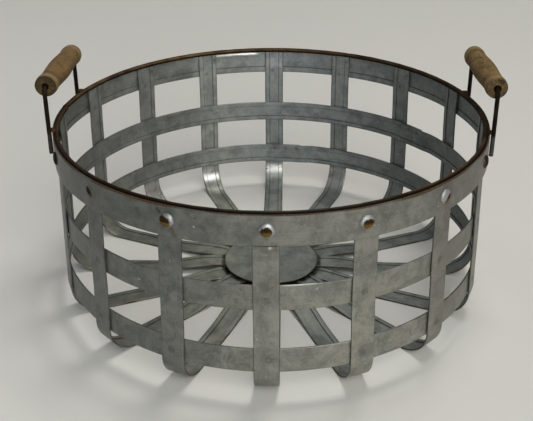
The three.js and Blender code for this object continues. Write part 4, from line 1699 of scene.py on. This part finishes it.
@dataclass
class Handle:
    """Wire bow with its weld beads and its turned grip."""

    wall: Wall
    side: Side
    wire_finish: bpy.types.Material
    timber: TimberFinish
    bare_tail: float = 0.6
    # Gold rust share on the bow's lit side, also a painted highlight.
    bow_rust: float = 0.3
    bow_soot: float = 0.62
    face_soil: float = 0.56
    ring_soil: float = 0.45
    split_soil: float = 2.0
    split_count: int = 17
    split_width: float = 5.0
    turn: float = math.radians(91.2)
    span: float = 98.3
    rise: float = 39.3
    tail: float = 20.5
    wire: float = 3.8
    bend: float = 4.5
    end_gap: float = 1.2
    bore: float = 5.6
    end_diameter: float = 16.8
    bead_diameter: float = 19.0
    neck_diameter: float = 17.8
    middle_diameter: float = 20.0
    bead_length: float = 6.0
    neck_length: float = 14.0
    end_round: float = 2.6
    end_slope: float = 0.35
    wire_sides: int = 14
    grip_sides: int = 120

    @property
    def angle(self) -> float:
        """Angle of the handle's middle round the basket."""
        return self.turn * self.side.value

    @property
    def leg_radius(self) -> float:
        """Distance of the legs from the basket's axis."""
        wall = self.wall
        band = float(wall.radius_at(wall.rim_height - self.tail)) + wall.band_offset
        return band + wall.clearance + self.wire / 2

    @property
    def chord(self) -> float:
        """Distance of the bow's plane from the basket's axis."""
        return math.sqrt(self.leg_radius ** 2 - (self.span / 2) ** 2)

    @property
    def grip_height(self) -> float:
        """Height of the grip's axis."""
        return self.wall.rim_height + self.rise

    def in_plane(self, sideways: Array, forward: Array, height: Array) -> Array:
        """Points from the handle's own directions: along the chord, out of the bow's plane, and up.

        Args:
            sideways: Distance along the chord.
            forward: Distance outwards from the bow's plane.
            height: Height above the ground.

        Returns:
            Points of the broadcast shape × 3.
        """
        sideways, forward, height = np.broadcast_arrays(sideways, forward, height)
        return (
            sideways[..., None] * round_the_axis(self.angle)
            + (self.chord + forward)[..., None] * outward(self.angle)
            + height[..., None] * UP
        )

    def bow(self) -> Surface:
        """A circle carried up one leg, round the corner, along the grip's axis and down the other leg.

        Returns:
            The closed surface.
        """
        half = self.span / 2
        foot = self.wall.rim_height - self.tail
        corner_height = self.grip_height - self.bend
        leg = np.linspace(foot, corner_height, 60)
        slope = np.linspace(math.pi / 2, 0.0, 12)[1:]
        bar = np.linspace(self.bend - half, half - self.bend, 30)[1:-1]
        side_up = np.concatenate([np.full(len(leg), -half), self.bend - half - self.bend * np.sin(slope)])
        height_up = np.concatenate([leg, corner_height + self.bend * np.cos(slope)])
        slope_up = np.concatenate([np.full(len(leg), math.pi / 2), slope])
        sideways = np.concatenate([side_up, bar, -side_up[::-1]])
        height = np.concatenate([height_up, np.full(len(bar), self.grip_height), height_up[::-1]])
        slopes = np.concatenate([slope_up, np.zeros(len(bar)), -slope_up[::-1]])
        turn = circle(self.wire_sides)
        along = distance_along(sideways, height)
        thick = self.wire / 2 + ripple(along, 7 * self.side.value + 90, (13.0, 29.0), 0.05)
        across = thick[:, None] * np.cos(turn)[None, :]
        depth = -thick[:, None] * np.sin(turn)[None, :]
        points = self.in_plane(
            sideways[:, None] + across * np.sin(slopes)[:, None],
            depth,
            height[:, None] - across * np.cos(slopes)[:, None],
        )
        wear = no_wear(points)
        below = fall(points[..., 2], self.wall.rim_height - 4.0, self.wall.rim_height - 1.0)
        wear[..., Wear.EDGE] = below * self.bare_tail
        # Gold rust streaks only on the lit side: rust and painted highlight.
        streak = smoothstep(ripple(along, 5 * self.side.value + 70, (19.0, 43.0), 1.0), 0.0, 0.9)
        lit_side = np.maximum(np.sin(turn - 0.7), 0.0)
        wear[..., Wear.RUST] = self.bow_rust * streak[:, None] * (1.0 - below) * lit_side[None, :]
        wear[..., Wear.DIRT] = self.bow_soot * (1.0 - below)
        return Surface(points, wear, wrap_columns=True, caps=True)

    def weld(self, leg: int) -> Surface:
        """A bead between a leg and the rim, drawn out along the rim away from the grip.

        The bead's cross-section is an ellipse that is widest at the leg, where it bridges the way to the
        rim, and shrinks into the groove beside the rim wire. It has a low ripple.

        Args:
            leg: -1 or 1 along the chord.

        Returns:
            The closed surface.
        """
        polar = np.linspace(0.03, math.pi - 0.03, 24)[:, None]
        turn = circle(28)[None, :]
        draw = np.random.default_rng(40 + 3 * leg + self.side.value)
        first, second = draw.uniform(0.0, TURN, 2)
        crust = 1.0 + 0.06 * np.sin(3.0 * turn + first) * np.sin(2.0 * polar + second)
        girth = ((1.0 + np.cos(polar)) / 2) ** 1.3
        blunt = np.sin(polar) ** 0.6 * crust
        away = 4.4 * np.cos(polar) - 2.6
        groove = self.leg_radius - self.wire / 2 - 2.4
        bridge = self.leg_radius - 2.9
        radial = groove + (bridge - groove) * girth + blunt * (0.9 + 2.3 * girth) * np.cos(turn)
        upward = 1.3 + 0.8 * girth + blunt * (0.6 + 2.1 * girth) * np.sin(turn)
        leg_angle = self.angle + leg * math.asin(self.span / 2 / self.leg_radius)
        points = cylinder_points(
            radial, leg_angle - leg * away / bridge,
            self.wall.rim_height - float(self.wall.sag_at(leg_angle)) + upward,
        )
        if leg > 0:
            points = points[:, ::-1]
        wear = no_wear(points)
        wear[..., Wear.RUST] = 0.22
        return Surface(points, wear, wrap_columns=True, caps=True, sharp_degrees=80.0)

    def grip_profile(self) -> tuple[Array, Array]:
        """Radius along the grip from one bore mouth to the other.

        Each end is a flat face with a rounded edge, a bead, a shallow neck and half the swelled middle,
        joined by cubic eases.

        Returns:
            Distance along the axis, and radius.
        """
        half = (self.span - self.wire) / 2 - self.end_gap
        along = np.concatenate([
            np.linspace(-half + self.end_round, -half + self.bead_length, 6)[:-1],
            np.linspace(-half + self.bead_length, half - self.bead_length, 64),
            np.linspace(half - self.bead_length, half - self.end_round, 6)[1:],
        ])
        inset = half - np.abs(along)
        bead = self.bead_diameter / 2 - (self.bead_diameter - self.neck_diameter) / 2 * smoothstep(
            inset, self.bead_length, self.neck_length)
        middle = (self.middle_diameter - self.neck_diameter) / 2 * smoothstep(inset, self.neck_length, half)
        radius = bead + middle - self.end_slope * fall(inset, self.end_round, self.bead_length)
        turn = np.linspace(0.0, math.pi / 2, 8)
        edge = radius[0]
        round_in = half - self.end_round + self.end_round * np.cos(turn)
        round_radius = self.end_diameter / 2 + (edge - self.end_diameter / 2) * np.sin(turn)
        face = np.linspace(self.bore / 2 + 0.5, self.end_diameter / 2, 13)[:-1]
        mouth_along = np.array([half - 6.0, half - 0.5, half - 0.14])
        mouth_radius = np.array([self.bore / 2, self.bore / 2, self.bore / 2 + 0.14])
        start_along = np.concatenate([-mouth_along, np.full(len(face), -half), -round_in[:-1]])
        start_radius = np.concatenate([mouth_radius, face, round_radius[:-1]])
        return (
            np.concatenate([start_along, along, -start_along[::-1]]),
            np.concatenate([start_radius, radius, start_radius[::-1]]),
        )

    def grip(self) -> Surface:
        """The turned grip: a profile carried round the bow's upper bar, with the bore inside it.

        Two low sines round the grip make it uneven. Its end faces are soiled round the bore, at the rim and
        along splits at drawn angles.

        Returns:
            The surface, closed both ways.
        """
        along, radius = self.grip_profile()
        turn = circle(self.grip_sides)
        half = (self.span - self.wire) / 2 - self.end_gap
        outer = smoothstep(radius, self.end_diameter / 2 - 0.5, self.end_diameter / 2 + 1.0)
        worn = 0.10 * np.sin(2.0 * turn + 0.6 * self.side.value)[None, :] + 0.07 * np.sin(
            3.0 * turn[None, :] + along[:, None] / 17.0)
        swell = radius[:, None] + outer[:, None] * worn
        points = self.in_plane(
            np.broadcast_to(along[:, None], swell.shape),
            swell * np.sin(turn)[None, :],
            self.grip_height + swell * np.cos(turn)[None, :],
        )
        wear = no_wear(points)
        inset = half - np.abs(along)
        mouth = fall(radius, self.bore / 2 + 0.3, self.bore / 2 + 1.8)
        rim = smoothstep(radius, 0.43 * self.end_diameter, 0.49 * self.end_diameter)
        rim = rim * fall(inset, 0.9, 2.3)
        on_face = inset < 0.05
        draw = np.random.default_rng(210 + self.side.value)
        count = self.split_count
        spokes = (np.arange(count) + draw.uniform(-0.35, 0.35, count)) * 360.0 / count
        depths = draw.uniform(0.4, 1.0, count)
        spread = self.split_width
        splits = sum(depth * near_angle(turn, spoke, spread) for spoke, depth in zip(spokes, depths))
        reach = on_face * smoothstep(radius, 0.25 * self.end_diameter, 0.36 * self.end_diameter)
        soiled = np.maximum(np.maximum(mouth, self.ring_soil * rim), self.face_soil * on_face)
        split = self.split_soil * reach[:, None] * splits[None, :]
        wear[..., Wear.DIRT] = np.clip(np.maximum(soiled[:, None], split), 0.0, 1.0)
        wear[..., Wear.EDGE] = (bell(inset - self.bead_length, 3.0) * outer)[:, None]
        return Surface(points, wear, wrap_rows=True, wrap_columns=True, sharp_degrees=50.0)

    def build(self) -> None:
        """Make the bow, its two beads and the grip."""
        word = self.side.word
        bow = self.bow().to_object(f"{word}_bow")
        place(bow, self.wire_finish, Body.BASKET, Slot.WIRE, f"{word}_handle_wire")
        for leg, name in ((-1, "first"), (1, "second")):
            bead = self.weld(leg).to_object(f"{word}_{name}_weld")
            place(bead, self.wire_finish, Body.BASKET, Slot.WIRE)
        middle = Vector(self.in_plane(np.array(0.0), np.array(0.0), np.array(self.grip_height))) * MM
        material = self.timber.material(f"{word}_timber", middle, self.angle)
        grip = self.grip().to_object(f"{word}_turned_grip")
        place(grip, material, Body(f"{word}_grip"), Slot.WOOD, f"{word}_grip")


@dataclass(frozen=True)
class PhotoCamera:
    """Camera at the photograph's place, solved from the rim, the rivets and the hoops."""

    image_width: int = 533
    focal_pixels: float = 855.9
    middle_row: float = 210.5
    axis_row: float = 160.0
    distance: float = 719.3
    height: float = 447.0
    turn: float = 0.0193
    pitch: float = 0.4308
    yaw: float = -0.0058
    roll: float = 0.0039
    sensor: float = 36.0

    def build(self) -> None:
        """Make the camera and give it to the scene."""
        heading = self.yaw - self.turn
        level = math.cos(self.pitch)
        forward = Vector((level * math.sin(heading), level * math.cos(heading), -math.sin(self.pitch)))
        right = Vector((math.cos(heading), -math.sin(heading), 0.0))
        down = forward.cross(right)
        tilted_right = right * math.cos(self.roll) + down * math.sin(self.roll)
        tilted_down = down * math.cos(self.roll) - right * math.sin(self.roll)
        data = bpy.data.cameras.new("photo_camera")
        data.sensor_width = self.sensor
        data.sensor_fit = "HORIZONTAL"
        data.lens = self.sensor * self.focal_pixels / self.image_width
        data.shift_y = (self.axis_row - self.middle_row) / self.image_width
        camera = bpy.data.objects.new("photo_camera", data)
        axes = Matrix((tilted_right, -tilted_down, -forward)).transposed().to_4x4()
        spot = Vector((math.sin(self.turn), -math.cos(self.turn), 0.0)) * self.distance
        camera.matrix_world = Matrix.Translation((spot + Vector((0, 0, self.height))) * MM) @ axes
        bpy.context.scene.collection.objects.link(camera)
        bpy.context.scene.camera = camera


@dataclass(frozen=True)
class SoftLamp:
    """One large soft lamp that looks at the basket."""

    name: str
    spot: Triple
    size: float
    watts: float
    colour: Triple
    spread_degrees: float = 180.0
    target: Triple = (0.0, 0.0, 0.08)

    def build(self) -> None:
        """Make the lamp."""
        data = bpy.data.lights.new(self.name, "AREA")
        data.shape = "DISK"
        data.size = self.size
        data.energy = self.watts
        data.color = self.colour
        data.spread = math.radians(self.spread_degrees)
        lamp = bpy.data.objects.new(self.name, data)
        lamp.location = self.spot
        aim = Vector(self.target) - lamp.location
        lamp.rotation_euler = aim.to_track_quat("-Z", "Y").to_euler()
        bpy.context.scene.collection.objects.link(lamp)


@dataclass(frozen=True)
class Studio:
    """Pale floor, soft lamps and an even surround that is warmer on the right."""

    floor: FloorFinish = FloorFinish()
    floor_size: float = 12.0
    warm: Colour = (0.62, 0.58, 0.52, 1.0)
    cool: Colour = (0.25, 0.29, 0.33, 1.0)
    surround: float = 0.34
    lamps: tuple[SoftLamp, ...] = (
        SoftLamp("window_lamp", (1.62, -3.95, 3.46), 5.0, 190.0, (0.98, 1.0, 0.99)),
        SoftLamp("front_lamp", (0.42, -3.72, 0.92), 1.4, 3.55, (1.0, 1.0, 1.0), 60.0),
        SoftLamp("top_lamp", (0.70, 1.00, 3.80), 1.4, 55.0, (1.0, 0.98, 0.95)),
        SoftLamp("back_lamp", (-3.00, 2.60, 1.90), 2.4, 2.35, (1.0, 1.0, 1.0), 60.0),
    )

    def build(self) -> None:
        """Make the floor, the lamps and the surround."""
        half = self.floor_size / 2
        outline = [(-half, -half, 0.0), (half, -half, 0.0), (half, half, 0.0), (-half, half, 0.0)]
        mesh = bpy.data.meshes.new("floor")
        mesh.from_pydata(outline, [], [[0, 1, 2, 3]])
        floor = bpy.data.objects.new("floor", mesh)
        mesh.materials.append(self.floor.material("pale_table"))
        bpy.context.scene.collection.objects.link(floor)
        for lamp in self.lamps:
            lamp.build()
        world = bpy.data.worlds.new("soft_surround")
        world.use_nodes = True
        bpy.context.scene.world = world
        tree = world.node_tree
        background = next(node for node in tree.nodes if node.type == "BACKGROUND")
        split = tree.nodes.new("ShaderNodeSeparateXYZ")
        tree.links.new(tree.nodes.new("ShaderNodeTexCoord").outputs["Generated"], split.inputs[0])
        span = tree.nodes.new("ShaderNodeMapRange")
        span.inputs["From Min"].default_value = -1.0
        tree.links.new(split.outputs["X"], span.inputs["Value"])
        mix = tree.nodes.new("ShaderNodeMix")
        mix.data_type = "RGBA"
        tree.links.new(span.outputs[0], mix.inputs[MIX_SHARE])
        mix.inputs[MIX_FIRST].default_value = self.cool
        mix.inputs[MIX_SECOND].default_value = self.warm
        tree.links.new(mix.outputs[MIX_RESULT], background.inputs["Color"])
        background.inputs["Strength"].default_value = self.surround
        bpy.context.scene.view_settings.view_transform = "Standard"


def corners(box: Sequence[Vector]) -> list[list[float]]:
    """Plain lists of the lowest and highest corner of a box."""
    return [[float(number) for number in corner] for corner in box]


def main() -> None:
    """Build the basket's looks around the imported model."""
    logging.basicConfig(level=logging.INFO, format="%(name)s: %(message)s")
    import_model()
    PhotoCamera().build()
    Studio().build()
    wall = Wall()
    zinc = ZincFinish().material("weathered_zinc")
    rusty = RustyWireFinish().material("rusted_wire")
    StrapCage(wall, zinc).build()
    Hoop(
        wall, zinc, "middle_hoop", wall.middle_hoop, seam=math.radians(125.0), seed=11,
        ring_mark=math.radians(33.3), rubbed_arc=(math.radians(2.8), math.radians(13.0)), rise_behind=-0.8,
    ).build()
    Hoop(
        wall, zinc, "lower_hoop", wall.lower_hoop, seam=math.radians(171.0), seed=17, rise_behind=2.2,
    ).build()
    TopBand(wall, zinc).build()
    RimWire(wall, rusty).build()
    RivetRow(wall, RivetFinish().material("rivet_steel")).build()
    CentreDisc(wall, zinc).build()
    smooth_timber = TimberFinish(
        tan=(0.176, 0.109, 0.044, 1.0), evenness=0.4, turning_marks=0.2, mottling=0.35, open_pores=0.3)
    Handle(wall, Side.LEFT, rusty, smooth_timber, bare_tail=0.25, face_soil=0.8, ring_soil=1.0).build()
    Handle(wall, Side.RIGHT, rusty, TimberFinish()).build()


if __name__ == "__main__":
    main()
